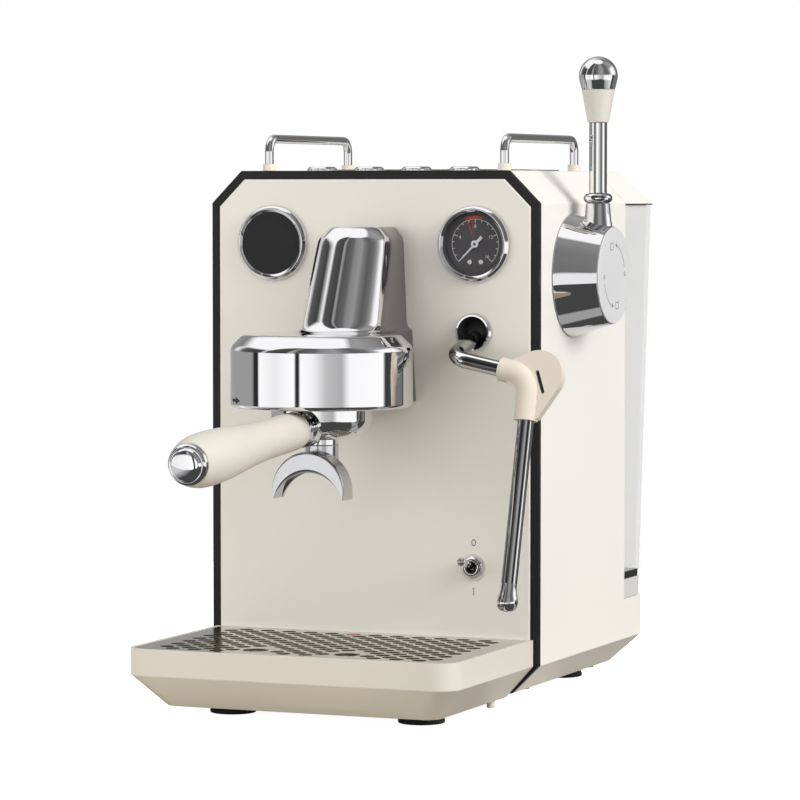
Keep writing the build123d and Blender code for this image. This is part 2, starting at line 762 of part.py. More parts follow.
with BuildPart() as drip_tray:
    add(tray_outside)
    add(tray_cavity, mode=Mode.SUBTRACT)
    with BuildSketch(floor_at(GRID_LOW)):
        rounded_plan(
            TRAY_HALF - TRAY_WALL,
            TRAY_SEAT - TRAY_WALL,
            -TRAY_DEPTH + TRAY_WALL,
            GRID_CORNER,
        )
    extrude(amount=TRAY_TOP - GRID_LOW, mode=Mode.SUBTRACT)
    with BuildSketch(floor_at(TRAY_LOW)):
        with Locations((0, TONGUE_FRONT - SLIDE_GAP)):
            Rectangle(
                2 * (TONGUE_HALF + SLIDE_GAP),
                TRAY_DEPTH,
                align=(Align.CENTER, Align.MIN),
            )
    extrude(amount=CHASSIS_TOP + SLIDE_GAP - TRAY_LOW, mode=Mode.SUBTRACT)
    with BuildSketch(floor_at(TRAY_LOW)):
        with Locations((PLUG_X, -PLUG_SETBACK)):
            Circle(PLUG_DIAMETER / 2 + RUN_GAP)
    extrude(amount=CAVITY_FLOOR - TRAY_LOW, mode=Mode.SUBTRACT)
    with BuildSketch(floor_at(CAVITY_FLOOR)):
        with Locations(FLOAT_SPOT):
            Circle(FLOAT_PIN / 2)
    extrude(amount=FLOAT_PIN_HEIGHT)
drip_tray.part.label = "drip_tray"

# Drain plug under the tray
with BuildPart(FLOOR) as drain_plug:
    with Locations((PLUG_X, -PLUG_SETBACK, TRAY_LOW - PLUG_LENGTH)):
        Cylinder(PLUG_DIAMETER / 2, PLUG_LENGTH + CAVITY_FLOOR - TRAY_LOW, align=UPRIGHT)
drain_plug.part.label = "drain_plug"

# Perforated grid with two finger holes and a rear notch
GRID_HALF = TRAY_HALF - TRAY_WALL - SLIDE_GAP
GRID_REAR = TRAY_SEAT - TRAY_WALL - SLIDE_GAP
GRID_FRONT = -TRAY_DEPTH + TRAY_WALL + SLIDE_GAP
FINGER_SPOTS = [(side * FINGER_SPACING / 2, -TRAY_DEPTH + FINGER_SETBACK) for side in (-1, 1)]
FINGER_KEEP = (FINGER_HOLE + GRID_HOLE) / 2 + GRID_WEB


def grid_spots():
    """Staggered round holes that stay clear of the grid's edges and finger holes."""
    spots = []
    reach = GRID_HALF - GRID_MARGIN - GRID_HOLE / 2
    row = 0
    depth = FLOAT_SPOT[1]
    while depth > GRID_FRONT + GRID_MARGIN + GRID_HOLE / 2:
        shift = GRID_PITCH_X / 2 if row % 2 == 0 else 0
        count = int((reach - shift) / GRID_PITCH_X)
        columns = [shift + i * GRID_PITCH_X for i in range(count + 1)]
        for across in sorted({side * x for side in (-1, 1) for x in columns}):
            near = min(math.dist((across, depth), finger) for finger in FINGER_SPOTS)
            if near > FINGER_KEEP:
                spots.append((across, depth))
        row += 1
        depth -= GRID_PITCH_Y / 2
    return spots


with BuildPart() as drip_grid:
    with BuildSketch(floor_at(GRID_LOW)):
        rounded_plan(GRID_HALF, GRID_REAR, GRID_FRONT, GRID_CORNER)
        with Locations(*grid_spots()):
            Circle(GRID_HOLE / 2, mode=Mode.SUBTRACT)
        with Locations(*FINGER_SPOTS):
            Circle(FINGER_HOLE / 2, mode=Mode.SUBTRACT)
        with Locations((0, GRID_REAR)):
            Rectangle(NOTCH_WIDTH, 2 * NOTCH_DEPTH, mode=Mode.SUBTRACT)
    extrude(amount=GRID_THICKNESS)
drip_grid.part.label = "drip_grid"

# Red float that rises through a hole of the grid
with BuildPart(FLOOR) as tray_float:
    with Locations((FLOAT_SPOT[0], FLOAT_SPOT[1], CAVITY_FLOOR)):
        Cylinder(FLOAT_DIAMETER / 2, FLOAT_HEIGHT, align=UPRIGHT)
        Cylinder(FLOAT_STEM / 2, GRID_TOP - CAVITY_FLOOR, align=UPRIGHT)
        Cylinder(
            FLOAT_PIN / 2 + RUN_GAP,
            FLOAT_PIN_HEIGHT + SLIDE_GAP,
            align=UPRIGHT,
            mode=Mode.SUBTRACT,
        )
tray_float.part.label = "tray_float"

# Water tank: pale foot, dark band, clear tank, and the valve under it
BAND_LOW = TANK_LOW + TANK_FOOT
CLEAR_LOW = BAND_LOW + TANK_BAND
foot_block = tank_block(TANK_LOW, BAND_LOW, 0, TANK_CORNER)
with BuildPart() as tank_foot:
    add(foot_block)
    with BuildSketch(floor_at(TANK_LOW)):
        with Locations((VALVE_X, TANK_VALVE_Y)):
            Circle(VALVE_DIAMETER / 2 + RUN_GAP)
    extrude(amount=TANK_FOOT, mode=Mode.SUBTRACT)
tank_foot.part.label = "tank_foot"

band_block = tank_block(BAND_LOW, CLEAR_LOW, TANK_BAND_INSET, TANK_CORNER)
with BuildPart() as tank_band:
    add(band_block)
tank_band.part.label = "tank_band"

clear_block = tank_block(CLEAR_LOW, TANK_TOP, 0, TANK_CORNER)
water_space = tank_block(CLEAR_LOW + TANK_WALL, TANK_TOP, TANK_WALL, TANK_INNER_CORNER)
with BuildPart() as water_tank:
    add(clear_block)
    add(water_space, mode=Mode.SUBTRACT)
water_tank.part.label = "water_tank"

with BuildPart(FLOOR) as tank_valve:
    with Locations((VALVE_X, TANK_VALVE_Y, TANK_LOW - VALVE_DEPTH)):
        Cylinder(VALVE_DIAMETER / 2, VALVE_DEPTH + TANK_FOOT - VALVE_TOP, align=UPRIGHT)
tank_valve.part.label = "tank_valve"

# Socket under the ledge that the tank valve drops into
COUPLING_TOP = LEDGE_TOP - SHEET
NIPPLE_LOW = COUPLING_TOP - COUPLING_DEPTH - NIPPLE_LENGTH
COUPLING_AXIS = lathe_plane(spot(VALVE_X, TANK_VALVE_Y, 0), (0, 0, 1))
with BuildPart() as tank_coupling:
    turned(
        COUPLING_AXIS,
        (OUTLET_PORT / 2, NIPPLE_LOW),
        (COUPLING_NIPPLE / 2, NIPPLE_LOW),
        (COUPLING_NIPPLE / 2, COUPLING_TOP - COUPLING_DEPTH),
        (COUPLING_BODY / 2, COUPLING_TOP - COUPLING_DEPTH),
        (COUPLING_BODY / 2, COUPLING_TOP - COUPLING_PLATE),
        (COUPLING_FLANGE / 2, COUPLING_TOP - COUPLING_PLATE),
        (COUPLING_FLANGE / 2, COUPLING_TOP),
        (VALVE_DIAMETER / 2 + SLIDE_GAP, COUPLING_TOP),
        (VALVE_DIAMETER / 2 + SLIDE_GAP, TANK_LOW - VALVE_DEPTH - SLIDE_GAP),
        (OUTLET_PORT / 2, TANK_LOW - VALVE_DEPTH - SLIDE_GAP),
    )
tank_coupling.part.label = "tank_coupling"

# Tank lid with the casing's chamfers and a skirt inside the tank
LID_LOW = TANK_TOP + SLIDE_GAP
SKIRT_LOW = TANK_TOP - LID_SKIRT
SKIRT_INSET = TANK_WALL + SLIDE_GAP
skirt_block = tank_block(SKIRT_LOW, LID_LOW, SKIRT_INSET, TANK_INNER_CORNER)
skirt_space = tank_block(SKIRT_LOW, LID_LOW + LID_WALL, SKIRT_INSET + LID_WALL, TANK_INNER_CORNER)


def lid_outline(inset):
    """Front section of the lid, drawn inwards by an inset at its top and sides."""
    half = HALF_WIDTH - inset
    top = CASE_TOP - inset
    drop = TOP_CHAMFER - inset * (2 - math.sqrt(2))
    with BuildLine() as outline:
        Polyline(
            (-half, LID_LOW),
            (half, LID_LOW),
            (half, top - drop),
            (half - drop, top),
            (-half + drop, top),
            (-half, top - drop),
            close=True,
        )
    make_face(outline.edges())


def lid_slope(inset, mode):
    """Wedge behind the lid's sloping rear face."""
    rear = LID_REAR - inset
    with BuildSketch(side_at(-CASE_WIDTH)) as wedge:
        with BuildLine():
            Polyline(
                (rear, LID_LOW + LID_RIM),
                (rear + LID_SLOPE, LID_LOW + LID_RIM),
                (rear + LID_SLOPE, CASE_TOP - inset),
                (rear - LID_SLOPE, CASE_TOP - inset),
                close=True,
            )
        make_face()
    extrude(wedge.sketch, amount=2 * CASE_WIDTH, mode=mode)


with BuildPart() as lid_core:
    with BuildSketch(front_at(LID_REAR - LID_WALL)):
        lid_outline(LID_WALL)
    extrude(amount=LID_REAR - TANK_FRONT - 2 * LID_WALL)
    lid_slope(LID_WALL, Mode.SUBTRACT)
with BuildPart() as tank_lid:
    with BuildSketch(front_at(LID_REAR)):
        lid_outline(0)
    extrude(amount=LID_REAR - TANK_FRONT)
    lid_slope(0, Mode.SUBTRACT)
    add(lid_core.part, mode=Mode.SUBTRACT)
    with BuildSketch(floor_at(LID_LOW)):
        with Locations((0, TANK_FRONT)):
            Rectangle(
                CASE_WIDTH - 2 * LID_WALL,
                LID_REAR - TANK_FRONT - LID_WALL,
                align=(Align.CENTER, Align.MIN),
            )
    extrude(amount=LID_WALL)
    add(skirt_block)
    add(skirt_space, mode=Mode.SUBTRACT)
tank_lid.part.label = "tank_lid"

# Cup shelf let into the top
with BuildPart() as cup_shelf:
    with BuildSketch(floor_at(CASE_TOP)):
        with Locations((0, SHELF_MIDDLE)):
            RectangleRounded(2 * SHELF_HALF + 2 * SHELF_LIP, SHELF_LENGTH + 2 * SHELF_LIP, SHELF_LIP)
            with GridLocations(VENT_PITCH_X, VENT_PITCH_Y, VENT_COLUMNS, VENT_ROWS):
                SlotOverall(VENT_LENGTH, VENT_WIDTH, mode=Mode.SUBTRACT)
    extrude(amount=SHELF_PLATE)
    with BuildSketch(floor_at(CASE_TOP)):
        with Locations((0, SHELF_MIDDLE)):
            Rectangle(2 * SHELF_HALF - SLIDE_GAP, SHELF_LENGTH - SLIDE_GAP)
            Rectangle(
                2 * SHELF_HALF - SLIDE_GAP - 2 * SHELF_PLATE,
                SHELF_LENGTH - SLIDE_GAP - 2 * SHELF_PLATE,
                mode=Mode.SUBTRACT,
            )
    extrude(amount=-SHELF_RIM)
cup_shelf.part.label = "cup_shelf"

# Cup rails and their ferrules
LEG_LOW = SHEET_UNDER - RAIL_TAIL
with BuildPart() as cup_rails:
    for side in (-1, 1):
        across = side * RAIL_X
        with BuildLine() as rail_path:
            FilletPolyline(
                spot(across, RAIL_FRONT, LEG_LOW),
                spot(across, RAIL_FRONT, BAR_Z),
                spot(across, RAIL_REAR, BAR_Z),
                spot(across, RAIL_REAR, LEG_LOW),
                radius=RAIL_BEND,
            )
        with BuildSketch(Plane(rail_path.line @ 0)) as rail_section:
            Circle(RAIL_ROD / 2)
        sweep(rail_section.sketch, path=rail_path.line)
cup_rails.part.label = "cup_rails"

with BuildPart() as rail_ferrules:
    with BuildSketch(floor_at(CASE_TOP)):
        with Locations(*RAIL_SPOTS):
            Circle(FERRULE_DIAMETER / 2)
            Circle(RAIL_ROD / 2 + RUN_GAP, mode=Mode.SUBTRACT)
    extrude(amount=FERRULE_HEIGHT)
rail_ferrules.part.label = "rail_ferrules"

# Push buttons, their rings and the board under them
NECK_LOW = CASE_TOP - RING_NECK_DEPTH
COLLAR_TOP = NECK_LOW - SLIDE_GAP
COLLAR_LOW = COLLAR_TOP - BUTTON_COLLAR_HEIGHT
STEM_LOW = COLLAR_LOW - BUTTON_STEM_LENGTH
KEY_TOP = STEM_LOW - BUTTON_TRAVEL - SLIDE_GAP
BOARD_TOP = KEY_TOP - KEY_HEIGHT
with BuildPart() as button_rings:
    for across, depth in BUTTON_SPOTS:
        turned(
            lathe_plane(spot(across, depth, 0), (0, 0, 1)),
            (BUTTON_DIAMETER / 2 + SLIDE_GAP, NECK_LOW),
            (RING_NECK / 2, NECK_LOW),
            (RING_NECK / 2, CASE_TOP),
            (RING_DIAMETER / 2, CASE_TOP),
            (RING_DIAMETER / 2, CASE_TOP + RING_HEIGHT / 2),
            (RING_NECK / 2, CASE_TOP + RING_HEIGHT),
            (BUTTON_DIAMETER / 2 + SLIDE_GAP, CASE_TOP + RING_HEIGHT),
        )
button_rings.part.label = "button_rings"

buttons = []
for number, (across, depth) in enumerate(BUTTON_SPOTS, start=1):
    with BuildPart() as button:
        turned(
            lathe_plane(spot(across, depth, 0), (0, 0, 1)),
            (0, STEM_LOW),
            (BUTTON_STEM / 2, STEM_LOW),
            (BUTTON_STEM / 2, COLLAR_LOW),
            (BUTTON_COLLAR / 2, COLLAR_LOW),
            (BUTTON_COLLAR / 2, COLLAR_TOP),
            (BUTTON_DIAMETER / 2, COLLAR_TOP),
            (BUTTON_DIAMETER / 2, CASE_TOP + BUTTON_PROUD),
            (0, CASE_TOP + BUTTON_PROUD),
        )
    button.part.label = f"button_{number}"
    buttons.append(button)

BOARD_SPAN = (BUTTON_COUNT - 1) * BUTTON_PITCH + 2 * BOARD_OVERHANG
with BuildPart() as button_board:
    with BuildSketch(floor_at(BOARD_TOP)):
        with Locations((0, BUTTON_Y)):
            Rectangle(BOARD_SPAN, BOARD_DEPTH)
    extrude(amount=-BOARD_THICKNESS)
    with BuildSketch(floor_at(BOARD_TOP)):
        with Locations(*BUTTON_SPOTS):
            Rectangle(KEY_SIZE, KEY_SIZE)
    extrude(amount=KEY_HEIGHT)
    with BuildSketch(floor_at(BOARD_TOP)):
        with Locations((0, BUTTON_Y)):
            with GridLocations(BOARD_SPAN - STANDOFF, BOARD_DEPTH - STANDOFF, 2, 2):
                Circle(STANDOFF / 2)
    extrude(amount=SHEET_UNDER - BOARD_TOP)
button_board.part.label = "button_board"

# Round display on the left and pressure gauge on the right
BEZEL_FRONT = PANEL_PROUD + BEZEL_PROUD
CAN_FRONT = PANEL_PROUD + CAN_PROUD
LENS_FRONT = CAN_FRONT + LENS
DIAL_FACE = CAN_FRONT - DIAL_DEPTH


def gauge_axis(side):
    """Turning plane of a gauge, with its local Y towards the user."""
    return lathe_plane(spot(side * GAUGE_X, 0, GAUGE_Z), (0, -1, 0))


def bezel(side):
    """Chrome bezel with a rounded brow that holds the lens down."""
    turned(
        gauge_axis(side),
        (BEZEL_DIAMETER / 2, PANEL_PROUD),
        (BEZEL_DIAMETER / 2, BEZEL_FRONT - BEZEL_PROUD / 2),
        ((BEZEL_DIAMETER + BEZEL_OPENING) / 4, BEZEL_FRONT),
        (BEZEL_OPENING / 2, LENS_FRONT + SEAT_GAP),
        (CAN_DIAMETER / 2 + SEAT_GAP, LENS_FRONT + SEAT_GAP),
        (CAN_DIAMETER / 2 + SEAT_GAP, PANEL_PROUD),
    )


def can(side):
    """Round case behind the panel with a shallow dial recess."""
    turned(
        gauge_axis(side),
        (0, -CAN_DEPTH),
        (CAN_DIAMETER / 2, -CAN_DEPTH),
        (CAN_DIAMETER / 2, CAN_FRONT),
        (DIAL_DIAMETER / 2, CAN_FRONT),
        (DIAL_DIAMETER / 2, DIAL_FACE),
        (0, DIAL_FACE),
    )


def lens(side):
    """Flat disc that lies on the front rim of the case."""
    turned(
        gauge_axis(side),
        (0, CAN_FRONT),
        (CAN_DIAMETER / 2 - SEAT_GAP, CAN_FRONT),
        (CAN_DIAMETER / 2 - SEAT_GAP, LENS_FRONT),
        (0, LENS_FRONT),
    )


with BuildPart() as gauge_bezels:
    for side in (-1, 1):
        bezel(side)
gauge_bezels.part.label = "gauge_bezels"

with BuildPart() as display_case:
    can(-1)
display_case.part.label = "display_case"

with BuildPart() as display_screen:
    lens(-1)
display_screen.part.label = "display_screen"

with BuildPart() as gauge_case:
    can(1)
    turned(
        gauge_axis(1),
        (0, DIAL_FACE),
        (NEEDLE_PIN / 2, DIAL_FACE),
        (NEEDLE_PIN / 2, DIAL_FACE + SLIDE_GAP + NEEDLE_HUB_HEIGHT),
        (0, DIAL_FACE + SLIDE_GAP + NEEDLE_HUB_HEIGHT),
    )
gauge_case.part.label = "gauge_case"

with BuildPart() as gauge_lens:
    lens(1)
gauge_lens.part.label = "gauge_lens"

NEEDLE_BACK = DIAL_FACE + SLIDE_GAP
NEEDLE_TURN = math.radians(NEEDLE_ZERO)
NEEDLE_PLANE = Plane(
    spot(GAUGE_X, -NEEDLE_BACK, GAUGE_Z),
    x_dir=(math.cos(NEEDLE_TURN), 0, math.sin(NEEDLE_TURN)),
    z_dir=(0, -1, 0),
)
with BuildPart() as gauge_needle:
    with BuildSketch(NEEDLE_PLANE):
        with BuildLine():
            Polyline(
                (-NEEDLE_TAIL, -NEEDLE_WIDTH / 2),
                (NEEDLE_LENGTH, -NEEDLE_PLATE / 2),
                (NEEDLE_LENGTH, NEEDLE_PLATE / 2),
                (-NEEDLE_TAIL, NEEDLE_WIDTH / 2),
                close=True,
            )
        make_face()
    extrude(amount=NEEDLE_PLATE)
    with BuildSketch(NEEDLE_PLANE):
        Circle(NEEDLE_HUB / 2)
    extrude(amount=NEEDLE_HUB_HEIGHT)
    with BuildSketch(NEEDLE_PLANE):
        Circle(NEEDLE_PIN / 2 + RUN_GAP)
    extrude(amount=NEEDLE_HUB_HEIGHT, mode=Mode.SUBTRACT)
gauge_needle.part.label = "gauge_needle"

# Power switch: washer and nut on the panel, body behind it, bat on a ball
SWITCH_AXIS = lathe_plane(spot(GAUGE_X, 0, SWITCH_Z), (0, -1, 0))
WASHER_FRONT = PANEL_PROUD + WASHER_THICKNESS
SWITCH_NUT_FRONT = WASHER_FRONT + SWITCH_NUT_HEIGHT
BUSH_FRONT = SWITCH_NUT_FRONT + BUSH_PROUD
BAT_PIVOT = BUSH_FRONT - BAT_BALL / 2 - SLIDE_GAP
with BuildPart() as switch_washer:
    turned(
        SWITCH_AXIS,
        (BUSH_DIAMETER / 2 + RUN_GAP, PANEL_PROUD),
        (WASHER_DIAMETER / 2, PANEL_PROUD),
        (WASHER_DIAMETER / 2, WASHER_FRONT),
        (BUSH_DIAMETER / 2 + RUN_GAP, WASHER_FRONT),
    )
switch_washer.part.label = "switch_washer"

with BuildPart() as switch_nut:
    with BuildSketch(front_at(-WASHER_FRONT)):
        with Locations((GAUGE_X, SWITCH_Z)):
            RegularPolygon(SWITCH_NUT_FLATS / 2, 6, major_radius=False, rotation=30)
            Circle(BUSH_DIAMETER / 2 + RUN_GAP, mode=Mode.SUBTRACT)
    extrude(amount=SWITCH_NUT_HEIGHT)
switch_nut.part.label = "switch_nut"

with BuildPart() as switch_body:
    with BuildSketch(front_at(PANEL_BACK)):
        with Locations((GAUGE_X, SWITCH_Z)):
            Rectangle(SWITCH_BODY_WIDTH, SWITCH_BODY_HEIGHT)
    extrude(amount=-SWITCH_BODY_DEPTH)
    with BuildSketch(front_at(PANEL_BACK)):
        with Locations((GAUGE_X, SWITCH_Z)):
            Circle(BUSH_DIAMETER / 2)
    extrude(amount=PANEL_BACK + BUSH_FRONT)
    with BuildSketch(front_at(PANEL_BACK)):
        with Locations((GAUGE_X, SWITCH_Z)):
            Circle(SWITCH_BORE / 2)
    extrude(amount=PANEL_BACK + BUSH_FRONT, mode=Mode.SUBTRACT)
switch_body.part.label = "switch_body"

BAT_LEAN = math.radians(BAT_ANGLE)
BAT_AXIS = lathe_plane(
    spot(GAUGE_X, -BAT_PIVOT, SWITCH_Z),
    (0, -math.cos(BAT_LEAN), math.sin(BAT_LEAN)),
)
with BuildPart() as switch_bat:
    with BuildSketch(BAT_AXIS):
        with BuildLine():
            ball = ThreePointArc((0, -BAT_BALL / 2), (BAT_BALL / 2, 0), (0, BAT_BALL / 2))
            Line(ball @ 1, ball @ 0)
        make_face()
        with BuildLine():
            shank = Polyline((0, 0), (BAT_ROOT / 2, 0), (BAT_TIP / 2, BAT_LENGTH))
            crown = RadiusArc(shank @ 1, (0, BAT_LENGTH + BAT_TIP / 2), -BAT_TIP / 2)
            Line(crown @ 1, shank @ 0)
        make_face()
    revolve(axis=Axis(BAT_AXIS.origin, BAT_AXIS.y_dir))
switch_bat.part.label = "switch_bat"

# Group casting: head, central boss and the neck to the boiler
with BuildPart() as group_head:
    turned(
        GROUP_AXIS,
        (0, HEAD_LOW),
        (HEAD_RADIUS, HEAD_LOW),
        (HEAD_RADIUS, HEAD_LOW + HEAD_HEIGHT),
        (HEAD_BOSS / 2, HEAD_LOW + HEAD_HEIGHT),
        (HEAD_BOSS / 2, BELL_TOP - BELL_WALL),
        (0, BELL_TOP - BELL_WALL),
    )
    with BuildSketch(front_at(BOILER_FRONT)):
        with Locations((0, BOILER_Z)):
            Circle(NECK_DIAMETER / 2)
    extrude(amount=BOILER_FRONT + GROUP_REACH)
group_head.part.label = "group_head"

# Chrome bell over the head
with BuildPart() as group_bell:
    turned(GROUP_AXIS, *bell_outline(0))
    turned(
        GROUP_AXIS,
        (0, BELL_LOW),
        (BELL_RADIUS - BELL_WALL, BELL_LOW),
        (BELL_RADIUS - BELL_WALL, BELL_TOP - BELL_SHOULDER - BELL_WALL),
        (BELL_RADIUS - BELL_SHOULDER - BELL_WALL, BELL_TOP - BELL_WALL),
        (0, BELL_TOP - BELL_WALL),
        mode=Mode.SUBTRACT,
    )
    with BuildSketch(front_at(0)):
        with Locations((0, BOILER_Z)):
            Circle(NECK_DIAMETER / 2 + SLIDE_GAP)
    extrude(amount=GROUP_REACH, mode=Mode.SUBTRACT)
group_bell.part.label = "group_bell"

# Chrome tower between the bell and the panel
CAP_LOW = BELL_TOP + TOWER_HEIGHT
CAP_TOP = CAP_LOW + TOWER_CAP
FLARE_SHARE = TOWER_FLARE_RISE / TOWER_HEIGHT
FLARE_HALF = TOWER_HALF_LOW + FLARE_SHARE * (TOWER_HALF_HIGH - TOWER_HALF_LOW)
FLARE_NOSE = TOWER_NOSE_LOW + FLARE_SHARE * (TOWER_NOSE_HIGH - TOWER_NOSE_LOW)
FLARE_BACK = TOWER_FLARE - FLARE_NOSE
with BuildPart() as tower_space:
    space_low = tower_section(BELL_TOP + SEAT_GAP, TOWER_HALF_LOW, TOWER_NOSE_LOW, TOWER_WALL)
    space_high = tower_section(CAP_LOW, TOWER_HALF_HIGH, TOWER_NOSE_HIGH, TOWER_WALL)
    loft((space_low, space_high), ruled=True)
    with BuildSketch(front_at(PANEL_FRONT)):
        with BuildLine():
            Polyline(
                (-TOWER_HALF_FOOT + TOWER_WALL, BELL_LOW + TOWER_WALL),
                (TOWER_HALF_FOOT - TOWER_WALL, BELL_LOW + TOWER_WALL),
                (TOWER_HALF_LOW - TOWER_WALL, BELL_TOP + SEAT_GAP),
                (-TOWER_HALF_LOW + TOWER_WALL, BELL_TOP + SEAT_GAP),
                close=True,
            )
        make_face()
    extrude(amount=TOWER_BLOCK)
with BuildPart() as group_tower:
    tower_low = tower_section(BELL_TOP, TOWER_HALF_LOW, TOWER_NOSE_LOW)
    tower_high = tower_section(CAP_LOW, TOWER_HALF_HIGH, TOWER_NOSE_HIGH)
    tower_cap = tower_section(CAP_TOP, TOWER_HALF_HIGH, TOWER_NOSE_HIGH, TOWER_CAP)
    flare_low = tower_section(BELL_TOP, TOWER_HALF_LOW + TOWER_FLARE, TOWER_NOSE_LOW, back=FLARE_BACK)
    flare_high = tower_section(BELL_TOP + TOWER_FLARE_RISE, FLARE_HALF, FLARE_NOSE, back=FLARE_BACK)
    loft((flare_low, flare_high), ruled=True)
    loft((tower_low, tower_high), ruled=True)
    loft((tower_high, tower_cap), ruled=True)
    with BuildSketch(front_at(PANEL_FRONT)):
        with BuildLine():
            Polyline(
                (-TOWER_HALF_FOOT, BELL_LOW),
                (TOWER_HALF_FOOT, BELL_LOW),
                (TOWER_HALF_LOW, BELL_TOP),
                (-TOWER_HALF_LOW, BELL_TOP),
                close=True,
            )
        make_face()
    extrude(amount=TOWER_BLOCK)
    add(tower_space.part, mode=Mode.SUBTRACT)
    turned(GROUP_AXIS, *bell_outline(SEAT_GAP), mode=Mode.SUBTRACT)
group_tower.part.label = "group_tower"

# Bayonet ring with two entry slots
RING_BORE = BOWL_RADIUS + SLIDE_GAP
LUG_RADIUS = BOWL_RADIUS + LUG_REACH
with BuildPart() as bayonet_ring:
    turned(
        GROUP_AXIS,
        (RING_BORE, RING_LOW),
        (HEAD_RADIUS, RING_LOW),
        (HEAD_RADIUS, HEAD_LOW),
        (RING_BORE + SLIDE_GAP, HEAD_LOW),
        (RING_BORE + SLIDE_GAP, CAVITY_TOP),
        (RING_CAVITY_RADIUS, CAVITY_TOP),
        (RING_CAVITY_RADIUS, CAVITY_LOW),
        (RING_BORE, CAVITY_LOW),
    )
    with BuildSketch(floor_at(RING_LOW)):
        with Locations((0, -GROUP_REACH)):
            Rectangle(
                2 * RING_CAVITY_RADIUS,
                LUG_WIDTH + 2 * SLIDE_GAP,
                rotation=-UNLOCK_ANGLE,
            )
    extrude(amount=RING_LEDGE, mode=Mode.SUBTRACT)
bayonet_ring.part.label = "bayonet_ring"

with BuildPart() as group_gasket:
    turned(
        GROUP_AXIS,
        (GASKET_INNER, CAVITY_TOP),
        (RING_BORE, CAVITY_TOP),
        (RING_BORE, HEAD_LOW),
        (GASKET_INNER, HEAD_LOW),
    )
group_gasket.part.label = "group_gasket"

with BuildPart() as shower_screen:
    turned(
        GROUP_AXIS,
        (0, HEAD_LOW - SCREEN_HEIGHT),
        (SCREEN_RADIUS, HEAD_LOW - SCREEN_HEIGHT),
        (SCREEN_RADIUS, HEAD_LOW),
        (SCREEN_RADIUS - SCREEN_PLATE, HEAD_LOW),
        (SCREEN_RADIUS - SCREEN_PLATE, HEAD_LOW - SCREEN_HEIGHT + SCREEN_PLATE),
        (0, HEAD_LOW - SCREEN_HEIGHT + SCREEN_PLATE),
    )
shower_screen.part.label = "shower_screen"

# Portafilter body: bowl, lugs, outlet, stub and the tang inside the handle
DROOP = math.radians(HANDLE_DROOP)
HANDLE_AXIS = lathe_plane(spot(0, -GROUP_REACH, HANDLE_Z), (0, -math.cos(DROOP), -math.sin(DROOP)))
BOWL_BORE = BOWL_RADIUS - BOWL_WALL
with BuildPart() as portafilter_body:
    turned(
        GROUP_AXIS,
        (0, BOWL_LOW),
        (BOWL_RADIUS, BOWL_LOW),
        (BOWL_RADIUS, BOWL_TOP),
        (0, BOWL_TOP),
    )
    fillet(portafilter_body.faces().sort_by(Axis.Z)[0].edges(), radius=BOWL_EDGE)
    turned(
        HANDLE_AXIS,
        (0, BOWL_BORE),
        (STUB_RADIUS, BOWL_BORE),
        (STUB_RADIUS, HANDLE_START),
        (TANG_RADIUS, HANDLE_START),
        (TANG_RADIUS, HANDLE_START + TANG_LENGTH),
        (0, HANDLE_START + TANG_LENGTH),
    )
    turned(
        GROUP_AXIS,
        (0, OUTLET_LOW),
        (OUTLET_DIAMETER / 2, OUTLET_LOW),
        (OUTLET_DIAMETER / 2, BOWL_LOW),
        (0, BOWL_LOW),
    )
    with BuildSketch(floor_at(CAVITY_LOW + SLIDE_GAP)):
        with Locations((0, -GROUP_REACH)):
            Rectangle(2 * LUG_RADIUS, LUG_WIDTH)
            Circle(LUG_RADIUS, mode=Mode.INTERSECT)
    extrude(amount=BOWL_TOP - CAVITY_LOW - SLIDE_GAP)
    turned(
        GROUP_AXIS,
        (0, BOWL_LOW + BOWL_FLOOR),
        (BOWL_BORE, BOWL_LOW + BOWL_FLOOR),
        (BOWL_BORE, BOWL_TOP),
        (0, BOWL_TOP),
        mode=Mode.SUBTRACT,
    )
    turned(
        GROUP_AXIS,
        (0, OUTLET_LOW),
        (OUTLET_BORE / 2, OUTLET_LOW),
        (OUTLET_BORE / 2, BOWL_LOW + BOWL_FLOOR),
        (0, BOWL_LOW + BOWL_FLOOR),
        mode=Mode.SUBTRACT,
    )
portafilter_body.part.label = "portafilter_body"

BASKET_RADIUS = BOWL_BORE - SLIDE_GAP
with BuildPart() as filter_basket:
    turned(
        GROUP_AXIS,
        (0, BOWL_TOP - BASKET_DEPTH),
        (BASKET_RADIUS, BOWL_TOP - BASKET_DEPTH),
        (BASKET_RADIUS, BOWL_TOP),
        (BASKET_RADIUS + BASKET_LIP, BOWL_TOP),
        (BASKET_RADIUS + BASKET_LIP, BOWL_TOP + BASKET_WALL),
        (BASKET_RADIUS - BASKET_WALL, BOWL_TOP + BASKET_WALL),
        (BASKET_RADIUS - BASKET_WALL, BOWL_TOP - BASKET_DEPTH + BASKET_WALL),
        (0, BOWL_TOP - BASKET_DEPTH + BASKET_WALL),
    )
filter_basket.part.label = "filter_basket"

# Double spout: an arched trough that parts the stream to two tips
SPOUT_FRONT = -GROUP_REACH - SPOUT_FORWARD - SPOUT_DEPTH / 2
SPOUT_TIP_X = math.sqrt(SPOUT_RADIUS**2 - SPOUT_TIP_DROP**2)
SPOUT_NECK_LOW = SPOUT_Z - SPOUT_TIP_DROP + SPOUT_ARCH


def crescent(radius, tip_x, arch):
    """Crescent between a round back and a flatter arch underneath."""
    low = SPOUT_Z - SPOUT_TIP_DROP
    with BuildLine() as outline:
        back = ThreePointArc((-tip_x, low), (0, SPOUT_Z + radius), (tip_x, low))
        ThreePointArc(back @ 1, (0, low + arch), back @ 0)
    make_face(outline.edges())


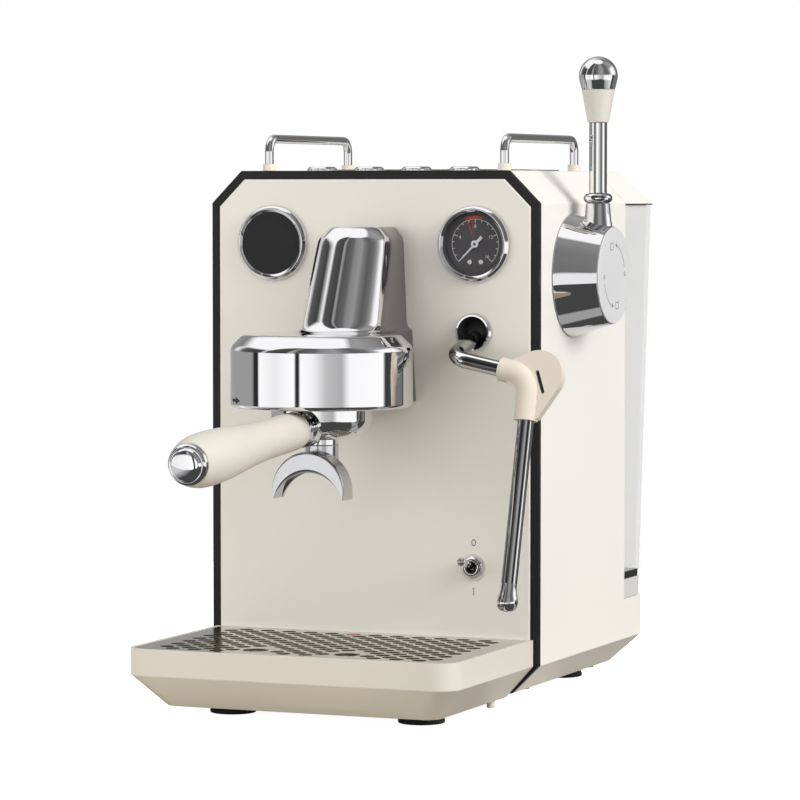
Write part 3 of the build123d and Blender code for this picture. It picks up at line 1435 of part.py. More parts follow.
with BuildPart() as double_spout:
    with BuildSketch(front_at(SPOUT_FRONT + SPOUT_DEPTH)):
        crescent(SPOUT_RADIUS, SPOUT_TIP_X, SPOUT_ARCH)
    extrude(amount=SPOUT_DEPTH)
    turned(
        GROUP_AXIS,
        (0, SPOUT_NECK_LOW),
        (OUTLET_DIAMETER / 2, SPOUT_NECK_LOW),
        (OUTLET_DIAMETER / 2, OUTLET_LOW),
        (0, OUTLET_LOW),
    )
    with BuildSketch(front_at(SPOUT_FRONT + SPOUT_DEPTH - SPOUT_LIP)):
        crescent(
            SPOUT_RADIUS - SPOUT_LIP,
            SPOUT_TIP_X - SPOUT_LIP,
            SPOUT_ARCH + SPOUT_CHANNEL,
        )
    extrude(amount=SPOUT_DEPTH - 2 * SPOUT_LIP, mode=Mode.SUBTRACT)
double_spout.part.label = "double_spout"

# Turned handle and its chrome end cap
with BuildPart() as portafilter_handle:
    with BuildSketch(HANDLE_AXIS):
        with BuildLine():
            side_line = Spline(
                (HANDLE_ROOT_RADIUS, HANDLE_START),
                (HANDLE_WAIST_RADIUS, HANDLE_START + HANDLE_WAIST),
                (HANDLE_SWELL_RADIUS, HANDLE_START + HANDLE_SWELL),
                (HANDLE_TIP_RADIUS, HANDLE_END),
            )
            Polyline(
                side_line @ 1,
                (0, HANDLE_END),
                (0, HANDLE_START + TANG_LENGTH + SLIDE_GAP),
                (TANG_RADIUS + RUN_GAP, HANDLE_START + TANG_LENGTH + SLIDE_GAP),
                (TANG_RADIUS + RUN_GAP, HANDLE_START),
                side_line @ 0,
            )
        make_face()
    revolve(axis=Axis(HANDLE_AXIS.origin, HANDLE_AXIS.y_dir))
portafilter_handle.part.label = "portafilter_handle"

with BuildPart() as handle_cap:
    with BuildSketch(HANDLE_AXIS):
        with BuildLine():
            dome = Bezier(
                (HANDLE_TIP_RADIUS, HANDLE_END),
                (HANDLE_TIP_RADIUS, HANDLE_END + CAP_LENGTH * CAP_FULLNESS),
                (HANDLE_TIP_RADIUS * CAP_FULLNESS, HANDLE_END + CAP_LENGTH),
                (0, HANDLE_END + CAP_LENGTH),
            )
            Polyline(dome @ 1, (0, HANDLE_END), dome @ 0)
        make_face()
    revolve(axis=Axis(HANDLE_AXIS.origin, HANDLE_AXIS.y_dir))
handle_cap.part.label = "handle_cap"

# Steam port: one housing through the panel with a seat for the ball
PORT_AXIS = lathe_plane(STEAM_PORT, (0, -1, 0))
HOUSING_FRONT = PANEL_PROUD + PORT_PROUD
THROAT_DEPTH = BALL_DEPTH - BALL_LIP
with BuildPart() as steam_housing_blank:
    turned(
        PORT_AXIS,
        (0, -HOUSING_DEPTH),
        (HOUSING_DIAMETER / 2, -HOUSING_DEPTH),
        (HOUSING_DIAMETER / 2, PANEL_PROUD),
        (PORT_RING / 2, PANEL_PROUD),
        (PORT_RING / 2, PANEL_PROUD + PORT_PROUD / 2),
        ((PORT_RING + PORT_OPENING) / 4, HOUSING_FRONT),
        (PORT_OPENING / 2, HOUSING_FRONT),
        (PORT_THROAT / 2, -THROAT_DEPTH),
        (0, -THROAT_DEPTH),
    )
with BuildPart(Plane(STEAM_BALL)) as ball_seat:
    Sphere(BALL_DIAMETER / 2 + RUN_GAP)
with BuildPart() as steam_housing:
    add(steam_housing_blank.part)
    add(ball_seat.part, mode=Mode.SUBTRACT)
steam_housing.part.label = "steam_housing"

ARM_BEND_AT = STEAM_PORT + Vector(0, -ARM_FORWARD, -ARM_FALL)
ELBOW_AT = STEAM_PORT + Vector(ELBOW_REACH, -ELBOW_FORWARD, -ELBOW_FALL)
WAND_END = STEAM_PORT + Vector(WAND_REACH, -WAND_FORWARD, -WAND_FALL)
STUB_DIRECTION = (ARM_BEND_AT - STEAM_BALL).normalized()
STUB_AXIS = lathe_plane(STEAM_BALL, STUB_DIRECTION)
ARM_START = STEAM_BALL + STUB_DIRECTION * PIPE_START
PIPE_BORE = PIPE_DIAMETER - 2 * PIPE_WALL
with BuildPart(Plane(STEAM_BALL)) as steam_ball:
    Sphere(BALL_DIAMETER / 2)
    turned(
        STUB_AXIS,
        (0, 0),
        (PIPE_BORE / 2 - RUN_GAP, 0),
        (PIPE_BORE / 2 - RUN_GAP, PIPE_START + STUB_OVERLAP),
        (0, PIPE_START + STUB_OVERLAP),
    )
    turned(
        STUB_AXIS,
        (0, -BALL_DIAMETER),
        (WATERWAY / 2, -BALL_DIAMETER),
        (WATERWAY / 2, PIPE_START + STUB_OVERLAP),
        (0, PIPE_START + STUB_OVERLAP),
        mode=Mode.SUBTRACT,
    )
steam_ball.part.label = "steam_ball"

# Bent steam pipe, elbow grip with its paddle, and tip
with BuildPart() as steam_arm:
    with BuildLine() as arm_path:
        FilletPolyline(ARM_START, ARM_BEND_AT, ELBOW_AT, WAND_END, radius=(ARM_BEND, ELBOW_BEND))
    tube(arm_path.line, PIPE_DIAMETER, PIPE_BORE)
steam_arm.part.label = "steam_arm"

ARM_DIRECTION = (ELBOW_AT - ARM_BEND_AT).normalized()
WAND_DIRECTION = (WAND_END - ELBOW_AT).normalized()
SLEEVE_START = ELBOW_AT - ARM_DIRECTION * SLEEVE_ARM
SLEEVE_END = ELBOW_AT + WAND_DIRECTION * SLEEVE_DROP
PADDLE_PLANE = Plane(ELBOW_AT, x_dir=(1, 0, 0), z_dir=Vector(1, 0, 0).cross(WAND_DIRECTION * -1))
PADDLE_FACE = PADDLE_PLANE.offset(-PADDLE_THICKNESS / 2)
with BuildPart() as steam_grip:
    with BuildSketch(PADDLE_FACE):
        with Locations((PADDLE_OFFSET, 0)):
            Circle(PADDLE_RADIUS)
        with Locations((-PADDLE_WEB_REACH, PADDLE_WEB_RISE)):
            Circle(SLEEVE_DIAMETER / 2)
        make_hull()
    extrude(amount=PADDLE_THICKNESS)
    with BuildSketch(PADDLE_FACE):
        with Locations((PADDLE_OFFSET, 0)):
            Circle(PADDLE_RADIUS)
        with Locations((0, -PADDLE_TAIL / 2)):
            Rectangle(SLEEVE_DIAMETER, PADDLE_TAIL)
        make_hull()
        with Locations((-SLEEVE_DIAMETER / 2, 0)):
            Rectangle(
                4 * PADDLE_RADIUS,
                4 * PADDLE_RADIUS,
                align=(Align.MAX, Align.CENTER),
                mode=Mode.SUBTRACT,
            )
    extrude(amount=PADDLE_THICKNESS)
    with BuildSketch(PADDLE_FACE):
        with Locations((SLIT_OFFSET, -SLIT_DROP)):
            SlotOverall(SLIT_LENGTH, SLIT_WIDTH, rotation=SLIT_ANGLE)
    extrude(amount=PADDLE_THICKNESS, mode=Mode.SUBTRACT)
    with BuildLine() as sleeve_path:
        FilletPolyline(SLEEVE_START, ELBOW_AT, SLEEVE_END, radius=ELBOW_BEND)
    with BuildSketch(Plane(SLEEVE_START, z_dir=ARM_DIRECTION)):
        Circle(SLEEVE_DIAMETER / 2)
    sweep(path=sleeve_path.line)
    with BuildSketch(Plane(SLEEVE_START, z_dir=ARM_DIRECTION)):
        Circle(PIPE_DIAMETER / 2 + RUN_GAP)
    sweep(path=sleeve_path.line, mode=Mode.SUBTRACT)
steam_grip.part.label = "steam_grip"

TIP_AXIS = lathe_plane(WAND_END, WAND_DIRECTION)
with BuildPart() as steam_tip:
    with BuildSketch(TIP_AXIS):
        with BuildLine():
            belly = Spline(
                (PIPE_DIAMETER / 2, 0),
                (TIP_DIAMETER / 2, TIP_LENGTH - TIP_DIAMETER / 2),
                (TIP_BORE / 2, TIP_LENGTH),
                tangents=((0, 1), (-1, 0)),
            )
            Polyline(belly @ 1, (TIP_BORE / 2, 0), belly @ 0)
        make_face()
    revolve(axis=Axis(TIP_AXIS.origin, TIP_AXIS.y_dir))
steam_tip.part.label = "steam_tip"

# Valve lever on the right side
DRUM_AXIS = lathe_plane(spot(LEVER_BASE, LEVER_Y, LEVER_Z), (1, 0, 0))
ROD_X = LEVER_BASE + ROD_OUT - DRUM_GAP
ROD_AXIS = lathe_plane(spot(ROD_X, LEVER_Y, LEVER_Z), (0, 0, 1))
with BuildPart() as lever_drum:
    turned(
        DRUM_AXIS,
        (0, 0),
        (DRUM_BASE_RADIUS, 0),
        (DRUM_FACE_RADIUS, DRUM_DEPTH),
        (0, DRUM_DEPTH),
    )
    turned(
        ROD_AXIS,
        (0, 0),
        (NECK_COLLAR / 2, 0),
        (NECK_COLLAR / 2, NECK_TOP),
        (0, NECK_TOP),
    )
    turned(
        DRUM_AXIS,
        (DRUM_HUB / 2, 0),
        (DRUM_BASE_RADIUS - DRUM_WALL, 0),
        (DRUM_FACE_RADIUS - DRUM_WALL, DRUM_DEPTH - DRUM_WALL),
        (DRUM_HUB / 2, DRUM_DEPTH - DRUM_WALL),
        mode=Mode.SUBTRACT,
    )
    turned(
        DRUM_AXIS,
        (0, -STEM_LENGTH),
        (STEM_DIAMETER / 2, -STEM_LENGTH),
        (STEM_DIAMETER / 2, 0),
        (0, 0),
    )
lever_drum.part.label = "lever_drum"

with BuildPart() as lever_face:
    turned(
        DRUM_AXIS,
        (0, DRUM_DEPTH),
        (DRUM_FACE_RADIUS - FACE_INSET, DRUM_DEPTH),
        (DRUM_FACE_RADIUS - FACE_INSET, DRUM_DEPTH + FACE_PLATE),
        (0, DRUM_DEPTH + FACE_PLATE),
    )
lever_face.part.label = "lever_face"

BEAD_ROOT = (BEAD_DIAMETER - BEAD_HEIGHT) / 2
with BuildPart() as lever_rod:
    with BuildSketch(ROD_AXIS):
        with BuildLine():
            bead = ThreePointArc(
                (BEAD_ROOT, NECK_TOP),
                (BEAD_DIAMETER / 2, NECK_TOP + BEAD_HEIGHT / 2),
                (BEAD_ROOT, NECK_TOP + BEAD_HEIGHT),
            )
            Polyline(
                bead @ 1,
                (ROD_DIAMETER / 2, NECK_TOP + BEAD_HEIGHT),
                (ROD_DIAMETER / 2, ROD_TOP),
                (ROD_STUD / 2, ROD_TOP),
                (ROD_STUD / 2, ROD_TOP + STUD_RISE),
                (0, ROD_TOP + STUD_RISE),
                (0, NECK_TOP),
                bead @ 0,
            )
        make_face()
    revolve(axis=Axis(ROD_AXIS.origin, ROD_AXIS.y_dir))
lever_rod.part.label = "lever_rod"

CONE_HIGH = ROD_TOP + CONE_HEIGHT
with BuildPart() as lever_cone:
    turned(
        ROD_AXIS,
        (ROD_STUD / 2 + RUN_GAP, ROD_TOP),
        (CONE_BASE / 2, ROD_TOP),
        (CONE_TOP / 2, CONE_HIGH),
        (ROD_STUD / 2 + RUN_GAP, CONE_HIGH),
    )
lever_cone.part.label = "lever_cone"

# The knob's ball runs down into a straight flank that meets the cone
KNOB_RADIUS = KNOB_DIAMETER / 2
KNOB_CENTRE = CONE_HIGH + KNOB_HEIGHT - KNOB_RADIUS
FLANK_REACH = math.hypot(CONE_TOP / 2, KNOB_CENTRE - CONE_HIGH)
FLANK_ANGLE = math.acos(KNOB_RADIUS / FLANK_REACH) - math.atan2(KNOB_CENTRE - CONE_HIGH, CONE_TOP / 2)
FLANK_TOP = (KNOB_RADIUS * math.cos(FLANK_ANGLE), KNOB_CENTRE + KNOB_RADIUS * math.sin(FLANK_ANGLE))
with BuildPart() as lever_knob:
    with BuildSketch(ROD_AXIS):
        with BuildLine():
            crest = RadiusArc(FLANK_TOP, (0, CONE_HIGH + KNOB_HEIGHT), -KNOB_RADIUS)
            Polyline(
                crest @ 1,
                (0, ROD_TOP + STUD_RISE + SLIDE_GAP),
                (ROD_STUD / 2 + RUN_GAP, ROD_TOP + STUD_RISE + SLIDE_GAP),
                (ROD_STUD / 2 + RUN_GAP, CONE_HIGH),
                (CONE_TOP / 2, CONE_HIGH),
                crest @ 0,
            )
        make_face()
    revolve(axis=Axis(ROD_AXIS.origin, ROD_AXIS.y_dir))
lever_knob.part.label = "lever_knob"

# Steam valve behind the drum
VALVE_OUTER = HALF_WIDTH - SHEET
VALVE_INNER = VALVE_OUTER - VALVE_BODY_LENGTH
VALVE_MIDDLE = (VALVE_OUTER + VALVE_INNER) / 2
BOSS_LOW = LEVER_Z - VALVE_BODY / 2 - VALVE_BOSS_HEIGHT
with BuildPart() as steam_valve:
    with BuildSketch(side_at(VALVE_INNER)):
        with Locations((LEVER_Y, LEVER_Z)):
            Circle(VALVE_BODY / 2)
    extrude(amount=VALVE_BODY_LENGTH)
    with BuildSketch(floor_at(BOSS_LOW)):
        with Locations((VALVE_MIDDLE, LEVER_Y)):
            Circle(VALVE_BOSS / 2)
    extrude(amount=VALVE_BODY / 2 + VALVE_BOSS_HEIGHT)
    with BuildSketch(side_at(LEVER_BASE - STEM_LENGTH - SLIDE_GAP)):
        with Locations((LEVER_Y, LEVER_Z)):
            Circle(STEM_DIAMETER / 2 + RUN_GAP)
    extrude(amount=STEM_LENGTH, mode=Mode.SUBTRACT)
steam_valve.part.label = "steam_valve"

# Boiler that the group's neck is bolted to
with BuildPart() as boiler:
    with BuildSketch(front_at(BOILER_REAR)):
        with Locations((0, BOILER_Z)):
            Circle(BOILER_RADIUS)
    extrude(amount=BOILER_REAR - BOILER_FRONT)
    fillet(boiler.edges().filter_by(GeomType.CIRCLE), radius=BOILER_EDGE)
boiler.part.label = "boiler"

# Power inlet in the rear wall of the ledge
with BuildPart() as power_inlet:
    with BuildSketch(front_at(LEDGE_DEPTH + INLET_FLANGE)):
        with Locations(INLET_MID):
            RectangleRounded(
                INLET_WIDTH + 2 * INLET_FLANGE,
                INLET_TALL + 2 * INLET_FLANGE,
                INLET_FLANGE,
            )
    extrude(amount=INLET_FLANGE)
    with BuildSketch(front_at(LEDGE_DEPTH)):
        with Locations(INLET_MID):
            Rectangle(INLET_WIDTH, INLET_TALL)
    extrude(amount=INLET_DEPTH)
    with BuildSketch(front_at(LEDGE_DEPTH + INLET_FLANGE)):
        with Locations(INLET_MID):
            Rectangle(INLET_WIDTH - 2 * INLET_WALL, INLET_TALL - 2 * INLET_WALL)
    extrude(amount=INLET_RECESS, mode=Mode.SUBTRACT)
    with BuildSketch(front_at(LEDGE_DEPTH + INLET_FLANGE - INLET_RECESS)):
        with Locations(INLET_MID):
            with GridLocations(BLADE_PITCH, 0, 3, 1):
                Rectangle(BLADE_WIDTH, BLADE_TALL)
    extrude(amount=-BLADE_LENGTH)
power_inlet.part.label = "power_inlet"

os.makedirs("parts", exist_ok=True)
PIECES = [
    trim_frame, front_panel, body_shell, rear_panel, chassis, chassis_screws, rubber_feet,
    drip_tray, drain_plug, drip_grid, tray_float,
    tank_foot, tank_band, water_tank, tank_valve, tank_coupling, tank_lid,
    cup_shelf, cup_rails, rail_ferrules, button_rings, *buttons, button_board,
    gauge_bezels, display_case, display_screen, gauge_case, gauge_lens, gauge_needle,
    switch_washer, switch_nut, switch_body, switch_bat,
    group_head, group_bell, group_tower, bayonet_ring, group_gasket, shower_screen,
    portafilter_body, filter_basket, double_spout, portafilter_handle, handle_cap,
    steam_housing, steam_ball, steam_arm, steam_grip, steam_tip,
    lever_drum, lever_face, lever_rod, lever_cone, lever_knob, steam_valve,
    boiler, power_inlet,
]
for piece in PIECES:
    export_step(piece.part, f"parts/{piece.part.label}.step")
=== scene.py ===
"""Cream and chrome home espresso machine: finishes, softened edges and printed details."""

import json
import logging
import math
from dataclasses import dataclass
from enum import Enum
from typing import Iterable, Sequence

import bmesh
import bpy
from bmesh.types import BMesh, BMVert
from mathutils import Matrix, Vector


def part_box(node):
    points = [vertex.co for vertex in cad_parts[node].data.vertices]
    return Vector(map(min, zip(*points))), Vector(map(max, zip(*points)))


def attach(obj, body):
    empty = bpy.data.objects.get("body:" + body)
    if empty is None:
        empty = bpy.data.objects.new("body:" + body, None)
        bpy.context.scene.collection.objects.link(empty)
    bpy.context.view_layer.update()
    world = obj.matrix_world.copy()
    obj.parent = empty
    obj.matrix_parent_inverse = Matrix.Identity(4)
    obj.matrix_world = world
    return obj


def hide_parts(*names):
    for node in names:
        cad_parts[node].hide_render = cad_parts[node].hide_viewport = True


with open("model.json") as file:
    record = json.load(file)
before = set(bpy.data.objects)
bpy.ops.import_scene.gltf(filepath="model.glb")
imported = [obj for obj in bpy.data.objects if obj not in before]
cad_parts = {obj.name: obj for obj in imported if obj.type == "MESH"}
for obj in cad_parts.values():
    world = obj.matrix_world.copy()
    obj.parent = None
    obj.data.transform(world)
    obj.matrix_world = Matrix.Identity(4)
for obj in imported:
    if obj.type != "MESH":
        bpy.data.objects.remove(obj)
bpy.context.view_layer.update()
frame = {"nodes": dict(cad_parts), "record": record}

LOG = logging.getLogger("machine")
MM = 0.001
WELD = 1e-6
TRIANGLE_WELD = 2e-6
FLAT_ANGLE = 0.4
CREASE = 42.0
NOISE_RANGE = (0.3, 0.7)
CLOUD_DETAIL = 3.0
TEXTURE_DETAIL = 2.0
BUMP_DEPTH = 0.0001
BUTTON_NODES = ("button_rings", "button_1", "button_2", "button_3", "button_4")
BODY_OF: dict[str, str] = {
    node: body for body, nodes in frame["record"]["behaviour"]["bodies"].items() for node in nodes
}

Pair = tuple[float, float]
Triple = tuple[float, float, float]
Tint = tuple[float, float, float, float]
Socket = bpy.types.NodeSocket
Value = float | Sequence[float] | Socket
Stops = tuple[Pair, ...]
Profile = tuple[Triple, ...]


class Grain(Enum):
    """Direction of a surface's fine texture, as a stretch of its noise along X, Y and Z."""

    EVEN = (1, 1, 1)
    ALONG_X = (0.02, 1, 1)
    ALONG_Y = (1, 0.02, 1)


@dataclass(frozen=True)
class Tone:
    """Surface colour in sRGB, 0 to 255."""

    red: float
    green: float
    blue: float

    def linear(self, gain: float = 1) -> Tint:
        """Colour for a shader socket.

        Args:
            gain: Factor on the linear values.

        Returns:
            Linear red, green, blue and a full alpha.
        """
        parts = [value / 255 for value in (self.red, self.green, self.blue)]
        curve = [v / 12.92 if v <= 0.04045 else ((v + 0.055) / 1.055) ** 2.4 for v in parts]
        return (*(min(1, v * gain) for v in curve), 1)


def grey(level: float) -> Tint:
    """Linear grey of a level, with a full alpha."""
    return (level, level, level, 1)


class Graph:
    """Shader nodes of a material or of the studio's surroundings."""

    def __init__(self, tree: bpy.types.NodeTree) -> None:
        """Take the tree to add to."""
        self.tree = tree

    def feed(self, socket: Socket, value: Value) -> None:
        """Link an input to an output, or set its constant value."""
        if isinstance(value, Socket):
            self.tree.links.new(value, socket)
        else:
            socket.default_value = value

    def fill(self, node: bpy.types.Node, **named: Value) -> None:
        """Feed a node's inputs by name, with spaces written as underscores."""
        for name, value in named.items():
            self.feed(node.inputs[name.replace("_", " ")], value)

    def add(self, kind: str, *values: Value, **named: Value) -> bpy.types.Node:
        """Add a node and feed its inputs.

        Args:
            kind: Kind of node.
            values: Values of its first inputs, in order.
            named: Values of further inputs by name.

        Returns:
            The new node.
        """
        node = self.tree.nodes.new(f"ShaderNode{kind}")
        for socket, value in zip(node.inputs, values):
            self.feed(socket, value)
        self.fill(node, **named)
        return node

    def maths(self, operation: str, *values: Value) -> Socket:
        """Result of an operation on numbers or sockets."""
        node = self.add("Math", *values)
        node.operation = operation
        return node.outputs[0]

    def spread(self, value: Socket, start: float, end: float, low: float = 0, high: float = 1) -> Socket:
        """Map a value between a start and an end to the range from low to high."""
        return self.add("MapRange", value, start, end, low, high).outputs["Result"]

    def ramp(self, factor: Socket, stops: Sequence[tuple[float, Tint]]) -> Socket:
        """Run through colours along a factor.

        Args:
            factor: Place on the ramp, from 0 to 1.
            stops: Places and colours in rising order.

        Returns:
            The colour.
        """
        node = self.add("ValToRGB", factor)
        points = node.color_ramp.elements
        while len(points) < len(stops):
            points.new(0.5)
        for point, (place, tint) in zip(points, stops):
            point.position, point.color = place, tint
        return node.outputs["Color"]

    def greys(self, factor: Socket, stops: Stops, start: float = 0, span: float = 1) -> Socket:
        """Run through grey levels, placed from a start over a span, along a factor."""
        return self.ramp(factor, [((place - start) / span, grey(level)) for place, level in stops])

    def fade(self, factor: Socket, low: Tint, high: Tint) -> Socket:
        """Fade between two colours over the range that a noise fills."""
        return self.ramp(factor, tuple(zip(NOISE_RANGE, (low, high))))

    def tinted(self, factor: Socket, first: Value, second: Value) -> Socket:
        """Mix two colours by a factor."""
        node = self.add("Mix")
        node.data_type = "RGBA"
        self.fill(node, Factor=factor, A=first, B=second)
        return node.outputs["Result"]

    def mixed(self, factor: Socket, first: bpy.types.Node, second: bpy.types.Node) -> bpy.types.Node:
        """Mix two shaders by a factor."""
        return self.add("MixShader", factor, first.outputs[0], second.outputs[0])


class SurfaceGraph(Graph):
    """Nodes of one material, built outwards from its principled shader."""

    def __init__(self, name: str) -> None:
        """Start a material with a principled shader and object coordinates."""
        self.material = bpy.data.materials.new(name)
        self.material.use_nodes = True
        super().__init__(self.material.node_tree)
        self.principled = self.tree.nodes["Principled BSDF"]
        self.place = self.add("TexCoord").outputs["Object"]

    def noise(self, scale: float, detail: float, grain: Grain = Grain.EVEN) -> Socket:
        """Noise on object coordinates, with its features per metre, octaves and direction."""
        mapping = self.add("Mapping", Vector=self.place, Scale=grain.value)
        return self.add("TexNoise", Vector=mapping.outputs[0], Scale=scale, Detail=detail).outputs["Fac"]


@dataclass(frozen=True)
class Finish:
    """Procedural surface: cloudy tint, fine texture, roughness and bump."""

    name: str
    tone: Tone
    drift: float = 0.05
    cloud: float = 200.0
    texture: float = 3000.0
    rough: Pair = (0.5, 0.6)
    bump: float = 0.08
    grain: Grain = Grain.EVEN
    metal: float = 0.0
    clear: float = 1.0
    specular: float = 0.5

    def material(self) -> bpy.types.Material:
        """Material of this finish, made at its first use."""
        known = bpy.data.materials.get(f"{self.name}_surface")
        return known or self.paint().material

    def paint(self) -> SurfaceGraph:
        """Build the finish's nodes.

        Returns:
            The graph with its material.
        """
        graph = SurfaceGraph(f"{self.name}_surface")
        cloud = graph.noise(self.cloud, CLOUD_DETAIL)
        fine = graph.noise(self.texture, TEXTURE_DETAIL, self.grain)
        bump = graph.add("Bump", Strength=self.bump, Distance=BUMP_DEPTH, Height=fine)
        graph.fill(
            graph.principled,
            Base_Color=graph.fade(cloud, self.tone.linear(1 - self.drift), self.tone.linear(1 + self.drift)),
            Roughness=graph.spread(fine, *NOISE_RANGE, *self.rough),
            Normal=bump.outputs["Normal"],
            Metallic=self.metal,
            Specular_IOR_Level=self.specular,
            Alpha=self.clear,
        )
        return graph


@dataclass(frozen=True)
class BandedFinish(Finish):
    """Polished tube with painted reflections: its base colour runs through grey stripes from the tube's
    middle to its edges, standing in for the reflections drawn out along it.
    """

    bands: Stops = ()

    def paint(self) -> SurfaceGraph:
        """Build the nodes with a painted reflection: a grey tint that changes from the tube's middle to its
        edges.

        Returns:
            The graph with its material.
        """
        graph = super().paint()
        # Painted reflection: grey levels by facing angle stand in for the dark and light reflection stripes
        # along the tube.
        facing = graph.add("LayerWeight").outputs["Facing"]
        graph.fill(graph.principled, Base_Color=graph.greys(facing, self.bands))
        return graph


CREAM_PANEL = Finish("cream_panel_enamel", Tone(240, 237, 227), 0.012, 5, 900, (0.33, 0.42), 0.05)
CREAM_SHELL = Finish("cream_shell_enamel", Tone(242, 239, 232), 0.012, 5, 900, (0.33, 0.42), 0.05)
CREAM_PLASTIC = Finish("cream_moulding", Tone(222, 218, 206), 0.015, 8, 1400, (0.28, 0.36), 0.04)
HANDLE_CREAM = Finish("handle_cream", Tone(218, 213, 201), 0.02, 14, 900, (0.42, 0.5), 0.03, specular=0.15)
GRIP_BEIGE = Finish("grip_soft_plastic", Tone(229, 218, 203), 0.02, 20, 1800, (0.42, 0.52))
TRIM_BLACK = Finish("trim_satin_black", Tone(30, 30, 29), 0.12, 12, 1500, (0.36, 0.46), 0.06, specular=0.3)
DARK_PLASTIC = Finish("dark_moulding", Tone(34, 34, 36), 0.1, 20, 1500, (0.3, 0.42), 0.06)
SCREEN_BLACK = Finish("screen_glass", Tone(30, 30, 31), 0.1, 40, 500, (0.06, 0.1), 0, specular=0.2)
DIAL_GREY = Finish("dial_grey", Tone(92, 90, 93), 0.05, 60, 2500, (0.5, 0.6), 0.05, specular=0.1)
NEEDLE_WHITE = Finish("needle_white", Tone(238, 238, 238), 0.02, rough=(0.4, 0.5))
CHROME = Finish("polished_chrome", Tone(230, 229, 231), 0.015, 14, 160, (0.02, 0.045), 0.01, metal=1)
# Chrome with painted reflection stripes running along the rod and the wand.
TUBE_CHROME = BandedFinish(
    "tube_chrome", Tone(230, 229, 231), 0.015, 14, 160, (0.03, 0.06), 0.01, metal=1,
    bands=(
        (0, 0.9), (0.02, 0.85), (0.045, 0.14), (0.1, 0.1), (0.15, 0.8), (0.4, 0.85), (0.62, 0.2),
        (1, 0.4),
    ),
)
# Darker copy of the polished chrome: painted shade for the tower's flat flanks.
PAINTED_SHADE_CHROME = Finish("painted_shade_chrome", Tone(142, 140, 143), 0.02, 14, 160, (0.16, 0.2), 0.015, metal=1)
SATIN_CHROME = Finish("satin_chrome", Tone(208, 208, 211), 0.02, 20, 900, (0.14, 0.2), 0.02, metal=1)
STEEL = Finish("brushed_steel", Tone(196, 190, 182), 0.05, 10, 1600, (0.14, 0.22), 0.05, Grain.ALONG_X, 1.0)
FACE_SILVER = Finish(
    "satin_silver", Tone(228, 227, 228), 0.02, 30, 2200, (0.34, 0.44), 0.04, Grain.ALONG_Y, 0.15
)
TANK_GREY = Finish("tank_foot_grey", Tone(214, 213, 211), 0.02, 12, 1400, (0.3, 0.4), 0.05)
BRASS = Finish("turned_brass", Tone(196, 168, 104), 0.05, 25, 1200, (0.22, 0.34), metal=1)
CLEAR_TANK = Finish("clear_tank", Tone(250, 250, 249), 0.01, 6, 300, (0.08, 0.14), 0.02, clear=0.46)
LENS_CLEAR = Finish("gauge_glass", Tone(30, 31, 32), 0.05, 20, 200, (0.02, 0.04), clear=0.05, specular=0.2)
FLOAT_RED = Finish("float_red", Tone(190, 40, 34), 0.06, 60, 1800, (0.26, 0.36), 0.05)
RUBBER = Finish("rubber", Tone(34, 34, 34), 0.15, 40, 1800, (0.6, 0.75), 0.2)
BOARD_GREEN = Finish("board_lacquer", Tone(40, 104, 66), 0.08, 60, 1200, (0.28, 0.4), 0.06)
INK_BLACK = Finish("ink_black", Tone(40, 39, 38), 0.08)
INK_WHITE = Finish("ink_white", Tone(228, 228, 226), 0.03)
INK_GREY = Finish("ink_grey", Tone(120, 118, 116))
INK_RED = Finish("ink_red", Tone(214, 74, 44))


def linked(name: str, data: bpy.types.ID) -> bpy.types.Object:
    """New object of the scene."""
    thing = bpy.data.objects.new(name, data)
    bpy.context.scene.collection.objects.link(thing)
    return thing


def publish(
    bm: BMesh, name: str, body: str, finish: Finish, crease: float = CREASE
) -> bpy.types.Object:
    """Turn a bmesh into a smooth-shaded piece that rides on a body.

    Args:
        bm: Mesh, freed here.
        name: Name of the piece.
        body: Body that it rides on.
        finish: Its surface.
        crease: Angle in degrees from which an edge is sharp.

    Returns:
        The new object.
    """
    bm.normal_update()
    for face in bm.faces:
        face.smooth = True
        face.material_index = 0
    for rib in bm.edges:
        rib.smooth = len(rib.link_faces) == 2 and rib.calc_face_angle(0) < math.radians(crease)
    mesh = bpy.data.meshes.new(name)
    bm.to_mesh(mesh)
    bm.free()
    mesh.materials.append(finish.material())
    piece = linked(name, mesh)
    piece.modifiers.new("even_shading", "WEIGHTED_NORMAL").keep_sharp = True
    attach(piece, body)
    LOG.info("%s rides on %s with %d faces", name, body, len(mesh.polygons))
    return piece


def stand_in(bm: BMesh, node: str, made: str, finish: Finish, crease: float = CREASE) -> bpy.types.Object:
    """Publish a piece in place of a solid.

    Args:
        bm: Mesh, freed here.
        node: Name of the solid.
        made: How the piece was made, for its name.
        finish: Its surface.
        crease: Angle in degrees from which an edge is sharp.

    Returns:
        The piece that replaces the solid.
    """
    piece = publish(bm, f"{node}_{made}", BODY_OF[node], finish, crease)
    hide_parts(node)
    return piece


def bevel(bm: BMesh, geom: list, width: float, steps: int, affect: str) -> None:
    """Round edges or corners by a width in millimetres."""
    bmesh.ops.bevel(
        bm, geom=geom, offset=width * MM, segments=steps, profile=0.5, affect=affect, clamp_overlap=True
    )


